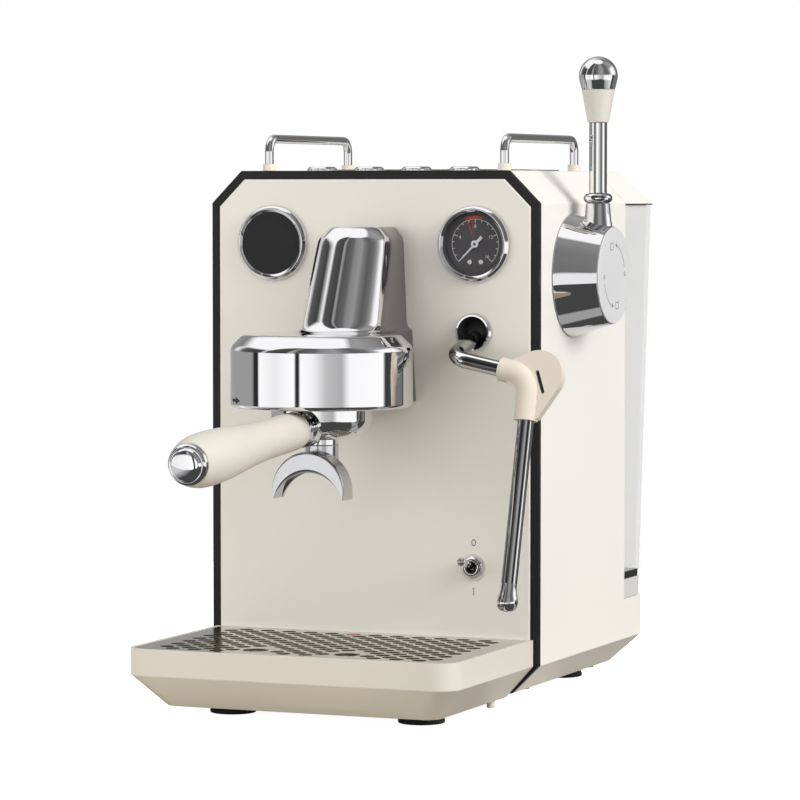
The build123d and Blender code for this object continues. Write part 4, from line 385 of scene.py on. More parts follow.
@dataclass(frozen=True)
class Piece:
    """Solid with its finish, and the rounding of its copy in millimetres if it has one."""

    node: str
    finish: Finish
    fold: float = 0.0
    edge: float = 0.0
    fold_from: float = 25.0
    edge_from: float = 62.0
    edge_to: float = 181.0
    steps: int = 3

    def show(self) -> None:
        """Round the solid, or keep its own mesh where no rounding is given."""
        if self.edge:
            self.soften()
        else:
            mesh = frame["nodes"][self.node].data
            mesh.materials.clear()
            mesh.materials.append(self.finish.material())
            LOG.info("%s keeps its solid", self.node)

    def soften(self) -> bpy.types.Object:
        """Stand a rounded copy in for the solid, inside the solid's own box.

        Returns:
            The piece that replaces the solid.
        """
        bm = bmesh.new()
        bm.from_mesh(frame["nodes"][self.node].data)
        bmesh.ops.remove_doubles(bm, verts=bm.verts, dist=TRIANGLE_WELD)
        bmesh.ops.dissolve_limit(bm, angle_limit=math.radians(FLAT_ANGLE), verts=bm.verts, edges=bm.edges)
        for width, least, most in (
            (self.fold, self.fold_from, self.edge_from),
            (self.edge, self.edge_from, self.edge_to),
        ):
            bm.normal_update()
            joined = [rib for rib in bm.edges if len(rib.link_faces) == 2]
            picked = [rib for rib in joined if least <= math.degrees(rib.calc_face_angle(0)) < most]
            if picked and width:
                bevel(bm, picked, width, self.steps, "EDGES")
        low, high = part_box(self.node)
        for vert in bm.verts:
            vert.co = [min(max(value, least), most) for value, least, most in zip(vert.co, low, high)]
        return stand_in(bm, self.node, "rounded", self.finish)


Pieces = tuple[Piece, ...]


class Assembly:
    """Group of pieces that belong together."""

    pieces: Pieces = ()

    def build(self) -> None:
        """Show the pieces and add what the solids leave out."""
        for piece in self.pieces:
            piece.show()
        self.detail()

    def detail(self) -> None:
        """Add nothing, unless the group has details of its own."""


def middle(node: str) -> Vector:
    """Middle of a node's box."""
    low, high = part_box(node)
    return (Vector(low) + Vector(high)) / 2


def sector(
    bm: BMesh, inner: float, outer: float, steps: int, start: float = 0, sweep: float = 360, at: Pair = (0, 0)
) -> None:
    """Add a flat ring or a sector of it in the XY plane.

    Args:
        bm: Mesh to add to.
        inner: Inner radius in metres.
        outer: Outer radius in metres.
        steps: Segments along the arc.
        start: Angle of its first edge in degrees from X.
        sweep: Angle that it covers in degrees, anticlockwise.
        at: Centre of the ring.
    """
    centre = Vector((*at, 0))
    aim = Vector((math.cos(math.radians(start)), math.sin(math.radians(start)), 0))
    ends = [bm.verts.new(centre + aim * inner), bm.verts.new(centre + aim * outer)]
    bmesh.ops.spin(
        bm, geom=[*ends, bm.edges.new(ends)], cent=centre, axis=(0, 0, 1), angle=math.radians(sweep),
        steps=steps, use_merge=abs(sweep) >= 360,
    )


def polygon(bm: BMesh, corners: Iterable[Pair], at: Pair = (0, 0)) -> None:
    """Add a flat face in the XY plane from its corners about a place."""
    bm.faces.new([bm.verts.new((at[0] + x, at[1] + y, 0)) for x, y in corners])


def bar(bm: BMesh, wide: float, tall: float, at: Pair) -> None:
    """Add a flat rectangle in the XY plane about its middle."""
    x, y = wide / 2, tall / 2
    polygon(bm, ((-x, -y), (x, -y), (x, y), (-x, y)), at)


def letter(bm: BMesh, text: str, size: float, at: Pair) -> None:
    """Add a flat numeral in the XY plane.

    Args:
        bm: Mesh to add to.
        text: Characters to set.
        size: Height of the type in metres.
        at: Place of its middle.
    """
    curve = bpy.data.curves.new("sign", "FONT")
    curve.body, curve.size = text, size
    curve.align_x = curve.align_y = "CENTER"
    curve.resolution_u = 4
    holder = linked("sign", curve)
    shape = bpy.data.meshes.new_from_object(holder.evaluated_get(bpy.context.evaluated_depsgraph_get()))
    shape.transform(Matrix.Translation((*at, 0)))
    bm.from_mesh(shape)
    bpy.data.objects.remove(holder)
    bpy.data.meshes.remove(shape)
    bpy.data.curves.remove(curve)


def printed(
    bm: BMesh, name: str, body: str, finish: Finish, place: Matrix, thick: float = 0.06
) -> None:
    """Make a flat drawing a thin printed layer on a surface.

    Args:
        bm: Drawing in the XY plane, seen from +Z.
        name: Name of the piece.
        body: Body that it rides on.
        finish: Ink.
        place: Its place on the surface.
        thick: Its thickness in millimetres.
    """
    bmesh.ops.remove_doubles(bm, verts=bm.verts, dist=WELD)
    bmesh.ops.recalc_face_normals(bm, faces=bm.faces)
    for face in bm.faces:
        if face.normal.z < 0:
            face.normal_flip()
    lifted = bmesh.ops.extrude_face_region(bm, geom=bm.faces[:])["geom"]
    risen = [item for item in lifted if isinstance(item, BMVert)]
    bmesh.ops.translate(bm, verts=risen, vec=(0, 0, thick * MM))
    settle(bm, place)
    publish(bm, name, body, finish, crease=30)


def draw(
    bm: BMesh, points: Sequence[Triple], softs: Iterable[float], steps: int = 6, closed: bool = False
) -> None:
    """Draw a line through points and round its corners.

    Args:
        bm: Mesh to add to.
        points: Corners of the line in millimetres.
        softs: Rounding of each corner in millimetres.
        steps: Segments across each rounding.
        closed: Whether the line runs back to its start.
    """
    corners = [bm.verts.new(Vector(point) * MM) for point in points]
    for pair in zip(corners, [*corners[1:], *corners[: int(closed)]]):
        bm.edges.new(pair)
    for corner, soft in zip(corners, softs):
        if soft:
            bevel(bm, [corner], soft, steps, "VERTICES")


def lathe(profile: Profile, place: Matrix, steps: int) -> BMesh:
    """Spin a profile about Z, with its corners rounded, and lay it in place.

    Args:
        profile: Radius, height and corner rounding of each point in millimetres.
        place: Place of the solid and its axis.
        steps: Segments around the axis.

    Returns:
        The closed solid of revolution.
    """
    bm = bmesh.new()
    draw(bm, [(radius, 0, height) for radius, height, _ in profile], [soft for _, _, soft in profile])
    line = [*bm.verts, *bm.edges]
    bmesh.ops.spin(bm, geom=line, axis=(0, 0, 1), angle=2 * math.pi, steps=steps, use_merge=True)
    bmesh.ops.remove_doubles(bm, verts=bm.verts, dist=WELD)
    settle(bm, place)
    return bm


def loft(bm: BMesh, rows: Iterable[Sequence[Triple]]) -> None:
    """Skin closed sections of equal length from the bottom up and close both ends.

    Args:
        bm: Mesh to add to.
        rows: Points of each section in millimetres.
    """
    rings = [[bm.verts.new(Vector(point) * MM) for point in row] for row in rows]
    for low, high in zip(rings, rings[1:]):
        for face in zip(low, [*low[1:], low[0]], [*high[1:], high[0]], high):
            bm.faces.new(face)
    bm.faces.new(rings[0])
    bm.faces.new(rings[-1])


def settle(bm: BMesh, place: Matrix) -> None:
    """Turn a mesh's faces outwards and lay it in place."""
    bmesh.ops.recalc_face_normals(bm, faces=bm.faces)
    bmesh.ops.transform(bm, matrix=place, verts=bm.verts)


def turned(angle: float, axis: str) -> Matrix:
    """Rotation by an angle in degrees about an axis."""
    return Matrix.Rotation(math.radians(angle), 4, axis)


def facing_user(node: str, surface: str = "", deep: float = 0.0) -> Matrix:
    """Placing of a drawing before a node's middle, on its or a surface's front or behind it by a depth."""
    centre = middle(node)
    return Matrix.Translation((centre.x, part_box(surface or node)[0][1] + deep, centre.z)) @ turned(90, "X")


@dataclass
class Casing(Assembly):
    """Enamelled casing, black trim, base and feet."""

    mark_height: float = 4.6
    mark_stroke: float = 0.55
    mark_rise: float = 17.2
    ring_share: float = 0.62
    ring_stretch: float = 1.45
    serif: Pair = (3.4, 0.7)
    pieces: Pieces = (
        Piece("body_shell", CREAM_SHELL, 2.2, 0.25),
        Piece("trim_frame", TRIM_BLACK, 0.6, 0.35),
        Piece("front_panel", CREAM_PANEL, 0.25, 0.25),
        Piece("rubber_feet", RUBBER, edge=0.8),
        Piece("rear_panel", CREAM_SHELL),
        Piece("chassis", STEEL),
        Piece("chassis_screws", STEEL),
        Piece("boiler", BRASS),
        Piece("steam_valve", BRASS),
        Piece("power_inlet", DARK_PLASTIC, edge=0.3),
    )

    def detail(self) -> None:
        """Print a ring above the switch and a bar with serifs below it."""
        half, stroke, rise = self.mark_height / 2 * MM, self.mark_stroke * MM, self.mark_rise * MM
        ring = half * self.ring_share
        bm = bmesh.new()
        sector(bm, ring - stroke / 2, ring + stroke / 2, steps=32)
        bmesh.ops.scale(bm, vec=(1, self.ring_stretch, 1), verts=bm.verts)
        bmesh.ops.translate(bm, verts=bm.verts, vec=(0, rise, 0))
        bar(bm, stroke, 2 * half, (0, -rise))
        for end in (half, -half):
            bar(bm, self.serif[0] * stroke, self.serif[1] * stroke, (0, end - rise))
        place = facing_user("switch_nut", "front_panel")
        printed(bm, "switch_signs", "casing", INK_GREY, place)


@dataclass
class DripTray(Assembly):
    """Moulded tray, its grid, float and plug."""

    pieces: Pieces = (
        Piece("drip_tray", CREAM_PLASTIC, 1.4, 1),
        Piece("drain_plug", CREAM_PLASTIC, edge=0.6),
        Piece("tray_float", FLOAT_RED, edge=0.6),
        Piece("drip_grid", STEEL),
    )


@dataclass
class WaterTank(Assembly):
    """Clear tank on its foot, with the lid."""

    lid: Piece = Piece("tank_lid", CREAM_SHELL, 2, 0.4)
    # Height band of the painted shade at the lid's joint with the tank, in millimetres above the lid's
    # bottom.
    seam: Pair = (8, 9.3)
    seam_slack: float = 0.1
    seam_lean: float = 0.8
    pieces: Pieces = (
        Piece("tank_foot", TANK_GREY, edge=0.5),
        Piece("tank_band", DARK_PLASTIC, edge=0.5),
        Piece("water_tank", CLEAR_TANK, edge=0.5),
        Piece("tank_valve", DARK_PLASTIC),
        Piece("tank_coupling", DARK_PLASTIC),
    )

    def detail(self) -> None:
        """Round the lid and paint a dark band along its lower edge, painted shade for the joint between lid
        and tank.
        """
        low, high = (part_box("tank_lid")[0][2] + height * MM for height in self.seam)
        mesh = self.lid.soften().data
        bm = bmesh.new()
        bm.from_mesh(mesh)
        whole = [*bm.verts, *bm.edges, *bm.faces]
        bmesh.ops.bisect_plane(bm, geom=whole, dist=WELD, plane_co=(0, 0, high), plane_no=(0, 0, 1))
        for face in bm.faces:
            inside = low - self.seam_slack * MM < face.calc_center_median().z < high
            # Painted shade: faces in the band at the lid's lower edge take the dark plastic.
            face.material_index = int(inside and abs(face.normal.z) < self.seam_lean)
        bm.to_mesh(mesh)
        bm.free()
        mesh.materials.append(DARK_PLASTIC.material())


@dataclass
class TopDeck(Assembly):
    """Cup shelf, rails and push buttons on the top."""

    pieces: Pieces = (
        Piece("cup_shelf", STEEL, edge=0.3),
        Piece("cup_rails", CHROME),
        Piece("rail_ferrules", CREAM_PLASTIC, edge=0.8),
        *(Piece(node, CHROME, 0.4, 0.3) for node in BUTTON_NODES),
        Piece("button_board", BOARD_GREEN),
    )


@dataclass
class Gauges(Assembly):
    """Round display on the left and pressure gauge on the right."""

    dial_depth: float = 4.5
    lift: float = 0.02
    scale_radius: float = 17.6
    scale_line: float = 0.3
    long_tick: float = 3.2
    short_tick: float = 1.8
    tick: float = 0.55
    zero_angle: float = 225.0
    span: float = 270.0
    top_value: int = 16
    numbered: int = 4
    numeral_radius: float = 12.4
    numeral: float = 3.4
    red_band: Pair = (0.5, 2.1)
    red_from: float = 74.0
    red_sweep: float = 40.0
    red_lines: Pair = (98, 110)
    red_line: float = 0.7
    red_root: float = 0.3
    screw_radii: Pair = (0.3, 1.6)
    screw_at: Pair = (4.2, -12.5)
    screw_high: float = 0.3
    ring_radii: Pair = (18.8, 19.3)
    pieces: Pieces = (
        Piece("gauge_bezels", CHROME, 1, 0.6, fold_from=15),
        Piece("display_case", DARK_PLASTIC),
        Piece("display_screen", SCREEN_BLACK, edge=0.2),
        Piece("gauge_case", DIAL_GREY),
        Piece("gauge_lens", LENS_CLEAR, edge=0.2),
        Piece("gauge_needle", NEEDLE_WHITE, edge=0.08),
    )

    def detail(self) -> None:
        """Print the dial and lay a fine dark ring inside the display's bezel."""
        self.dial()
        ring = bmesh.new()
        inner, outer = (radius * MM for radius in self.ring_radii)
        sector(ring, inner, outer, steps=96)
        place = facing_user("display_screen")
        printed(ring, "display_ring", "casing", TRIM_BLACK, place)

    def angle_of(self, value: float) -> float:
        """Angle on the dial in degrees from its right-hand side, anticlockwise."""
        return self.zero_angle - self.span * value / self.top_value

    def spoke(self, bm: BMesh, inner: float, outer: float, angle: float, wide: float) -> None:
        """Draw a line along a radius of the dial, with its width on the scale's circle."""
        sweep = math.degrees(wide / self.scale_radius)
        sector(bm, inner, outer, 1, angle - sweep / 2, sweep)

    def dial(self) -> None:
        """Print ticks, numerals, the red sector and two screws on the dial."""
        place = facing_user("gauge_case", deep=(self.dial_depth - self.lift) * MM)
        outer = self.scale_radius * MM
        ticks = bmesh.new()
        for value in range(self.top_value + 1):
            length = self.short_tick if value % self.numbered else self.long_tick
            self.spoke(ticks, outer - length * MM, outer, self.angle_of(value), self.tick)
        sector(ticks, outer - self.scale_line * MM, outer, 64, self.zero_angle - self.span, self.span)
        for value in range(0, self.top_value + 1, self.numbered):
            turn, away = math.radians(self.angle_of(value)), self.numeral_radius * MM
            letter(ticks, str(value), self.numeral * MM, (away * math.cos(turn), away * math.sin(turn)))
        printed(ticks, "dial_scale", "casing", INK_WHITE, place)
        warning = bmesh.new()
        near, far = (outer + step * MM for step in self.red_band)
        sector(warning, near, far, 16, self.red_from, self.red_sweep)
        for angle in self.red_lines:
            self.spoke(warning, self.red_root * outer, near, angle, self.red_line)
        printed(warning, "dial_red_sector", "casing", INK_RED, place)
        screws = bmesh.new()
        bore, rim = (radius * MM for radius in self.screw_radii)
        across, down = (step * MM for step in self.screw_at)
        for side in (-across, across):
            sector(screws, bore, rim, steps=20, at=(side, down))
        printed(screws, "dial_screws", "casing", STEEL, place, self.screw_high)


@dataclass
class PowerSwitch(Assembly):
    """Bat switch with its nut, washer and threaded bush."""

    bush_profile: Profile = (
        (3.5, -1, 0), (6, -1, 0), (5.65, -0.65, 0), (6, -0.3, 0), (5.65, 0.05, 0), (6, 0.4, 0),
        (5.65, 0.75, 0), (6, 1.1, 0), (5.65, 1.8, 0.1), (5.3, 2.1, 0.15), (4.5, 2.1, 0.3), (3.5, 1.3, 0),
        (3.5, -1, 0),
    )
    pieces: Pieces = (
        Piece("switch_washer", CREAM_PLASTIC, edge=0.3),
        Piece("switch_nut", CHROME, 0.3, 0.25),
        Piece("switch_bat", CHROME, edge=0.2),
        Piece("switch_body", DARK_PLASTIC),
    )

    def detail(self) -> None:
        """Turn the chrome bush, with its thread as fine ridges, over the switch body's neck."""
        bm = lathe(self.bush_profile, facing_user("switch_nut"), steps=64)
        publish(bm, "switch_bush", "casing", CHROME, crease=30)


@dataclass
class BrewGroup(Assembly):
    """Chrome tower and bell with the fittings under them."""

    bell_radius: float = 62.5
    bell_height: float = 50.0
    bell_profile: Profile = (
        (0, 50, 0), (53.5, 50, 2.2), (62.5, 41, 2.4), (62.5, 0, 3), (58.5, 0, 0.7), (58.5, 4, 0.5),
        (60, 6.5, 0), (60, 38.5, 1), (51, 47.5, 1), (0, 47.5, 0),
    )
    back_half: float = 30.2
    tower_steps: int = 64
    flank_turn: float = 0.17
    flank_lean: float = 0.25
    block_half: float = 33.3
    block_reach: float = 61.25
    block_gap: float = 0.2
    block_taper: float = 0.915
    block_steps: int = 24
    arrow_angle: float = -135.5
    arrow_rise: float = 5.5
    arrow_long: float = 6.6
    arrow_wing: float = 2.604
    arrow_shaft: float = 1.008
    tower_levels: Profile = (
        (0, 34.6, 51.5), (0.7, 33.1, 51.2), (1.8, 31.8, 50.8), (3.4, 30.8, 50.2), (5.6, 30.1, 49.4),
        (8, 29.9, 48.5), (24, 29.2, 42.3), (42, 28.3, 35.4), (59, 27.45, 28.9), (62, 27.2, 27.8),
        (64.2, 26.7, 27.2), (66, 25.6, 27), (69.5, 22.2, 27), (71.4, 20.2, 27), (72.5, 18.6, 27),
        (72.9, 16.8, 27),
    )
    pieces: Pieces = (
        Piece("group_head", BRASS),
        Piece("bayonet_ring", CHROME, edge=0.4),
        Piece("group_gasket", RUBBER),
        Piece("shower_screen", STEEL),
    )

    def detail(self) -> None:
        """Turn the bell with its soft shoulder and rolled lip, then add the tower and the mark."""
        centre = middle("group_bell")
        place = Matrix.Translation((centre.x, centre.y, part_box("group_bell")[0][2]))
        stand_in(lathe(self.bell_profile, place, steps=160), "group_bell", "turned", CHROME, crease=50)
        self.tower()
        self.lock_mark()

    def tower(self) -> None:
        """Draw the tower up from its foot, level by level, and add the block behind the bell; its flat flanks
        take a darker chrome copy as painted shade.
        """
        centre = middle("group_tower")
        wall_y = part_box("group_tower")[1][1]
        bm = bmesh.new()
        loft(bm, [self.section(*level) for level in self.tower_levels])
        self.block(bm, (wall_y - middle("group_bell").y) / MM)
        settle(bm, Matrix.Translation((centre.x, wall_y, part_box("group_bell")[0][2])))
        piece = stand_in(bm, "group_tower", "drawn", CHROME, crease=40)
        # Painted shade: the flank faces take the darker chrome copy in place of their dark reflections.
        piece.data.materials.append(PAINTED_SHADE_CHROME.material())
        for face in piece.data.polygons:
            flank = abs(face.normal.x) > self.flank_lean and abs(face.normal.y) < self.flank_turn
            face.material_index = int(flank)

    def section(self, rise: float, half: float, nose: float) -> list[Triple]:
        """U-shaped section of the tower, with the panel at Y 0.

        Args:
            rise: Height above the bell in millimetres.
            half: Half width in millimetres.
            nose: Distance of the round nose's centre from the panel in millimetres.

        Returns:
            Points from its right edge round the nose to its left edge.
        """
        back, high = self.back_half * half / self.tower_levels[0][1], rise + self.bell_height
        turns = [math.pi * step / self.tower_steps for step in range(self.tower_steps + 1)]
        arc = [(half * math.cos(turn), -nose - half * math.sin(turn), high) for turn in turns]
        return [(back, 0, high), *arc, (-back, 0, high)]

    def block(self, bm: BMesh, axis: float) -> None:
        """Stand the block between the panel and the bell's back.

        Args:
            bm: Mesh to add to, with the panel at Y 0.
            axis: Distance of the bell's axis from the panel in millimetres.
        """
        reach = self.block_reach
        turn = math.asin(self.block_half / reach)
        turns = [turn * (1 - 2 * step / self.block_steps) for step in range(self.block_steps + 1)]
        arc = [(reach * math.sin(angle), reach * math.cos(angle) - axis) for angle in turns]
        foot = [(arc[0][0], 0), *arc, (arc[-1][0], 0)]
        levels = ((1, 0), (self.block_taper, self.bell_height - self.block_gap))
        loft(bm, [[(x * share, y, high) for x, y in foot] for share, high in levels])

    def lock_mark(self) -> None:
        """Print the small mark low on the bell that shows where the handle goes in."""
        centre = middle("group_bell")
        long, wing = self.arrow_long * MM, self.arrow_wing * MM
        bm = bmesh.new()
        bar(bm, long, 2 * self.arrow_shaft * MM, (-long / 2, 0))
        polygon(bm, ((0, -wing), (long, 0), (0, wing)))
        out = Matrix.Translation((0, -self.bell_radius * MM, 0)) @ turned(90, "X")
        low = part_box("group_bell")[0][2] + self.arrow_rise * MM
        place = Matrix.Translation((centre.x, centre.y, low)) @ turned(self.arrow_angle + 90, "Z") @ out
        printed(bm, "lock_mark", "casing", INK_BLACK, place)


@dataclass
class Portafilter(Assembly):
    """Bowl, spout and turned handle."""

    spout_radius: float = 26.5
    spout_half_depth: float = 9.0
    spout_thick: float = 14.5
    spout_lip: float = 3.0
    spout_channel: float = 4.0
    spout_softs: tuple[float, ...] = (0.3, 4.2, 1.8, 3, 1, 0.3, 1, 1)
    spout_steps: int = 72
    arch_radius: float = 26.7
    arch_drop: float = 14.7
    tip_angle: float = -13.5
    tip_rise: float = 0.9
    neck_radius: float = 11.5
    neck_soft: float = 0.8
    droop: float = 4.2
    cap_profile: Profile = (
        (0, 7.2, 0), (4, 7.1, 1.5), (7.6, 6.8, 1.5), (9.8, 6.2, 1), (10.6, 4.6, 0), (11, 4.2, 0),
        (11.7, 4.4, 0.3), (13, 3.4, 0.8), (13.8, 1.6, 0.8), (13.9, 0.1, 0), (0, 0.1, 0),
    )
    handle_profile: Profile = (
        (0, 0, 0), (10.6, 0, 0), (12.6, 0.3, 1.4), (13, 8, 3), (13.1, 20, 5), (13, 43, 8), (13.3, 58, 7),
        (13.9, 70, 6), (14.7, 82, 6), (15.6, 95, 6), (16.6, 107, 6), (17.3, 118, 5), (17.7, 131, 6),
        (17.8, 143, 5), (17.2, 152, 3), (16, 159, 2.5), (14.2, 164.4, 0.8), (0, 164.6, 0),
    )
    boss_profile: Profile = (
        (0, -16, 0), (13.6, -16, 0), (13, -9, 2), (11.4, -4.6, 2), (11.9, -2.4, 0.8), (11.9, 0.6, 0.4),
        (0, 0.6, 0),
    )
    pieces: Pieces = (
        Piece("portafilter_body", CHROME),
        Piece("filter_basket", STEEL, edge=0.25),
    )

    def detail(self) -> None:
        """Make the spout and turn the handle, the boss behind it and its end cap."""
        self.spout()
        long = self.handle_profile[-1][1]
        handle = self.on_axis(self.handle_profile, long)
        stand_in(handle, "portafilter_handle", "turned", HANDLE_CREAM, crease=50)
        boss = self.on_axis(self.boss_profile, long)
        publish(boss, "portafilter_boss", "portafilter", CHROME, crease=40)
        stand_in(self.on_axis(self.cap_profile, 0), "handle_cap", "turned", CHROME, crease=30)

    def spout(self) -> None:
        """Sweep the spout's channelled section round its crescent and add the neck."""
        low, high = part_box("double_spout")
        start = math.radians(self.tip_angle)
        wide, thick, channel = self.spout_half_depth, self.spout_thick, self.spout_channel
        rise = self.spout_radius * math.sin(-start) + self.tip_rise
        centre = Vector(((low[0] + high[0]) / 2, low[1] + wide * MM, low[2] + rise * MM))
        brink = wide - self.spout_lip
        corners = (
            (0, -brink), (0, -wide), (thick, -wide), (thick, wide),
            (0, wide), (0, brink), (channel, brink), (channel, -brink),
        )
        bm = bmesh.new()
        inner = self.spout_radius - thick
        ring = [(inner + out, deep, 0) for out, deep in corners]
        draw(bm, ring, self.spout_softs, steps=8, closed=True)
        bmesh.ops.remove_doubles(bm, verts=bm.verts, dist=WELD)
        bmesh.ops.rotate(bm, verts=bm.verts, matrix=Matrix.Rotation(-start, 3, "Y"))
        line = [*bm.verts, *bm.edges]
        bmesh.ops.spin(bm, geom=line, axis=(0, 1, 0), angle=2 * start - math.pi, steps=self.spout_steps)
        for vert in bm.verts:
            self.thin(vert)
        bmesh.ops.holes_fill(bm, edges=[rib for rib in bm.edges if rib.is_boundary], sides=0)
        settle(bm, Matrix.Translation(centre))
        neck, neck_low = self.neck_radius, centre.z + (self.arch_radius - self.arch_drop + channel) * MM
        tall = (high[2] - neck_low) / MM
        place = Matrix.Translation((centre.x, high[1] - neck * MM, neck_low))
        profile = ((0, 0, 0), (neck, 0, 0), (neck, tall, self.neck_soft), (0, tall, 0))
        holder = bpy.data.meshes.new("neck")
        lathe(profile, place, steps=48).to_mesh(holder)
        bm.from_mesh(holder)
        bpy.data.meshes.remove(holder)
        stand_in(bm, "double_spout", "swept", SATIN_CHROME, crease=50)

    def thin(self, vert: BMVert) -> None:
        """Squeeze a point of the swept section between the crescent's outer and inner arcs."""
        away = math.hypot(vert.co.x, vert.co.z)
        across, up = vert.co.x / away, vert.co.z / away
        toward = -self.arch_drop * up
        arch = toward + math.sqrt(toward**2 + self.arch_radius**2 - self.arch_drop**2)
        share = (away / MM - self.spout_radius + self.spout_thick) / self.spout_thick
        reach = (arch + share * (self.spout_radius - arch)) * MM
        vert.co.x, vert.co.z = across * reach, up * reach

    def on_axis(self, profile: Profile, behind: float) -> BMesh:
        """Turn a profile on the handle's axis.

        Args:
            profile: Radius, height and rounding of its points in millimetres.
            behind: Distance of its zero height from the cap's root, towards the group.

        Returns:
            The turned solid.
        """
        lean = math.radians(self.droop)
        along = Vector((0, -math.cos(lean), -math.sin(lean)))
        root = middle("handle_cap") - along * (self.cap_profile[0][1] / 2 + behind) * MM
        return lathe(profile, Matrix.Translation(root) @ turned(90 + self.droop, "X"), steps=96)


@dataclass
class SteamWand(Assembly):
    """Ball joint, bent pipe, soft grip and tip."""

    slit_from_tip: Pair = (32.1, 144.4)
    slit_inset: float = 15.5
    slit_half: Triple = (1.7, 2.6, 8.3)
    slit_turn: float = -20.0
    slit_lean: float = -12.5
    pieces: Pieces = (
        Piece("steam_housing", CHROME, 0.6, 0.4),
        Piece("steam_ball", DARK_PLASTIC, edge=0.2),
        Piece("steam_arm", TUBE_CHROME),
        Piece("steam_grip", GRIP_BEIGE, edge=1.6, edge_from=40),
        Piece("steam_tip", CHROME, edge=0.3),
    )

    def detail(self) -> None:
        """Fill the paddle's slit with a dark lens-shaped body, painted shade standing in for the slit's
        shadowed inside.
        """
        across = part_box("steam_grip")[1][0] - self.slit_inset * MM
        tip = middle("steam_tip")
        spot = Vector((across, tip.y + self.slit_from_tip[0] * MM, tip.z + self.slit_from_tip[1] * MM))
        # Painted shade: a dark ellipsoid where the slit's inside lies in shade.
        bm = bmesh.new()
        bmesh.ops.create_uvsphere(bm, u_segments=24, v_segments=16, radius=MM)
        bmesh.ops.scale(bm, vec=self.slit_half, verts=bm.verts)
        place = Matrix.Translation(spot) @ turned(self.slit_lean, "X") @ turned(self.slit_turn, "Y")
        bmesh.ops.transform(bm, matrix=place, verts=bm.verts)
        publish(bm, "grip_slit_shade", "steam_wand", RUBBER)


@dataclass
class ValveLever(Assembly):
    """Chrome drum on the right side with its lever."""

    collar: Profile = (
        (0, 24, 0), (11.4, 24, 0), (10.8, 32, 3), (9.4, 40, 4), (8.6, 50.9, 0.4), (0, 50.9, 0),
    )
    arc_radius: float = 21.6
    arc_stroke: float = 0.6
    arcs: Stops = ((15, 62), (195, 62))
    head: Pair = (1.8, 3)
    ring_radius: float = 1.6
    ring_behind: float = 13.0
    cup: float = 6.2
    cup_ahead: float = 28.0
    brim_rise: float = 0.4
    pieces: Pieces = (
        Piece("lever_drum", CHROME, 0.6, 1.2),
        Piece("lever_face", FACE_SILVER, edge=0.4),
        Piece("lever_rod", TUBE_CHROME, edge=0.4),
        Piece("lever_cone", CREAM_PLASTIC, edge=0.5),
        Piece("lever_knob", CHROME, edge=0.4),
    )

    def detail(self) -> None:
        """Turn the collar at the rod's foot and print the arrows on the face."""
        axis = middle("lever_rod")
        bm = lathe(self.collar, Matrix.Translation((axis.x, axis.y, middle("lever_face").z)), steps=64)
        publish(bm, "lever_collar", "valve_lever", CHROME)
        self.arrows()

    def on_circle(self, angle: float, radius: float) -> Vector:
        """Point of a circle on the face at an angle in degrees."""
        return Vector((math.cos(math.radians(angle)), math.sin(math.radians(angle)))) * radius

    def arrows(self) -> None:
        """Print two curved arrows on the drum's face, each from a ring to a cup."""
        centre = middle("lever_face")
        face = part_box("lever_face")[1][0]
        bm = bmesh.new()
        radius, stroke, ring = self.arc_radius * MM, self.arc_stroke * MM, self.ring_radius * MM
        side, point = (size * MM for size in self.head)
        for start, sweep in self.arcs:
            end = start + sweep
            sector(bm, radius - stroke / 2, radius + stroke / 2, 24, start, sweep)
            tip = self.on_circle(end, radius) + self.on_circle(end + 90, point)
            polygon(bm, (self.on_circle(end, radius - side), self.on_circle(end, radius + side), tip))
            spot = self.on_circle(start - self.ring_behind, radius)
            sector(bm, ring - stroke, ring, steps=20, at=spot)
            self.draw_cup(bm, self.on_circle(end + self.cup_ahead, radius))
        place = Matrix.Translation((face, centre.y, centre.z)) @ turned(90, "Z") @ turned(90, "X")
        printed(bm, "lever_arrows", "valve_lever", INK_GREY, place)

    def draw_cup(self, bm: BMesh, at: Vector) -> None:
        """Draw a small cup outline at a place on the face."""
        half, stroke = self.cup / 2 * MM, self.arc_stroke * MM
        inner = half - stroke
        wall = ((-half, half), (-half, -half), (half, -half), (half, half))
        hollow = ((inner, half), (inner, -inner), (-inner, -inner), (-inner, half))
        polygon(bm, (*wall, *hollow), at)
        bar(bm, half, stroke, (at.x, at.y + half * self.brim_rise + stroke / 2))


@dataclass(frozen=True)
class Softbox:
    """Square lamp with its place and side in metres and its power in watts."""

    name: str
    at: Triple
    side: float
    power: float


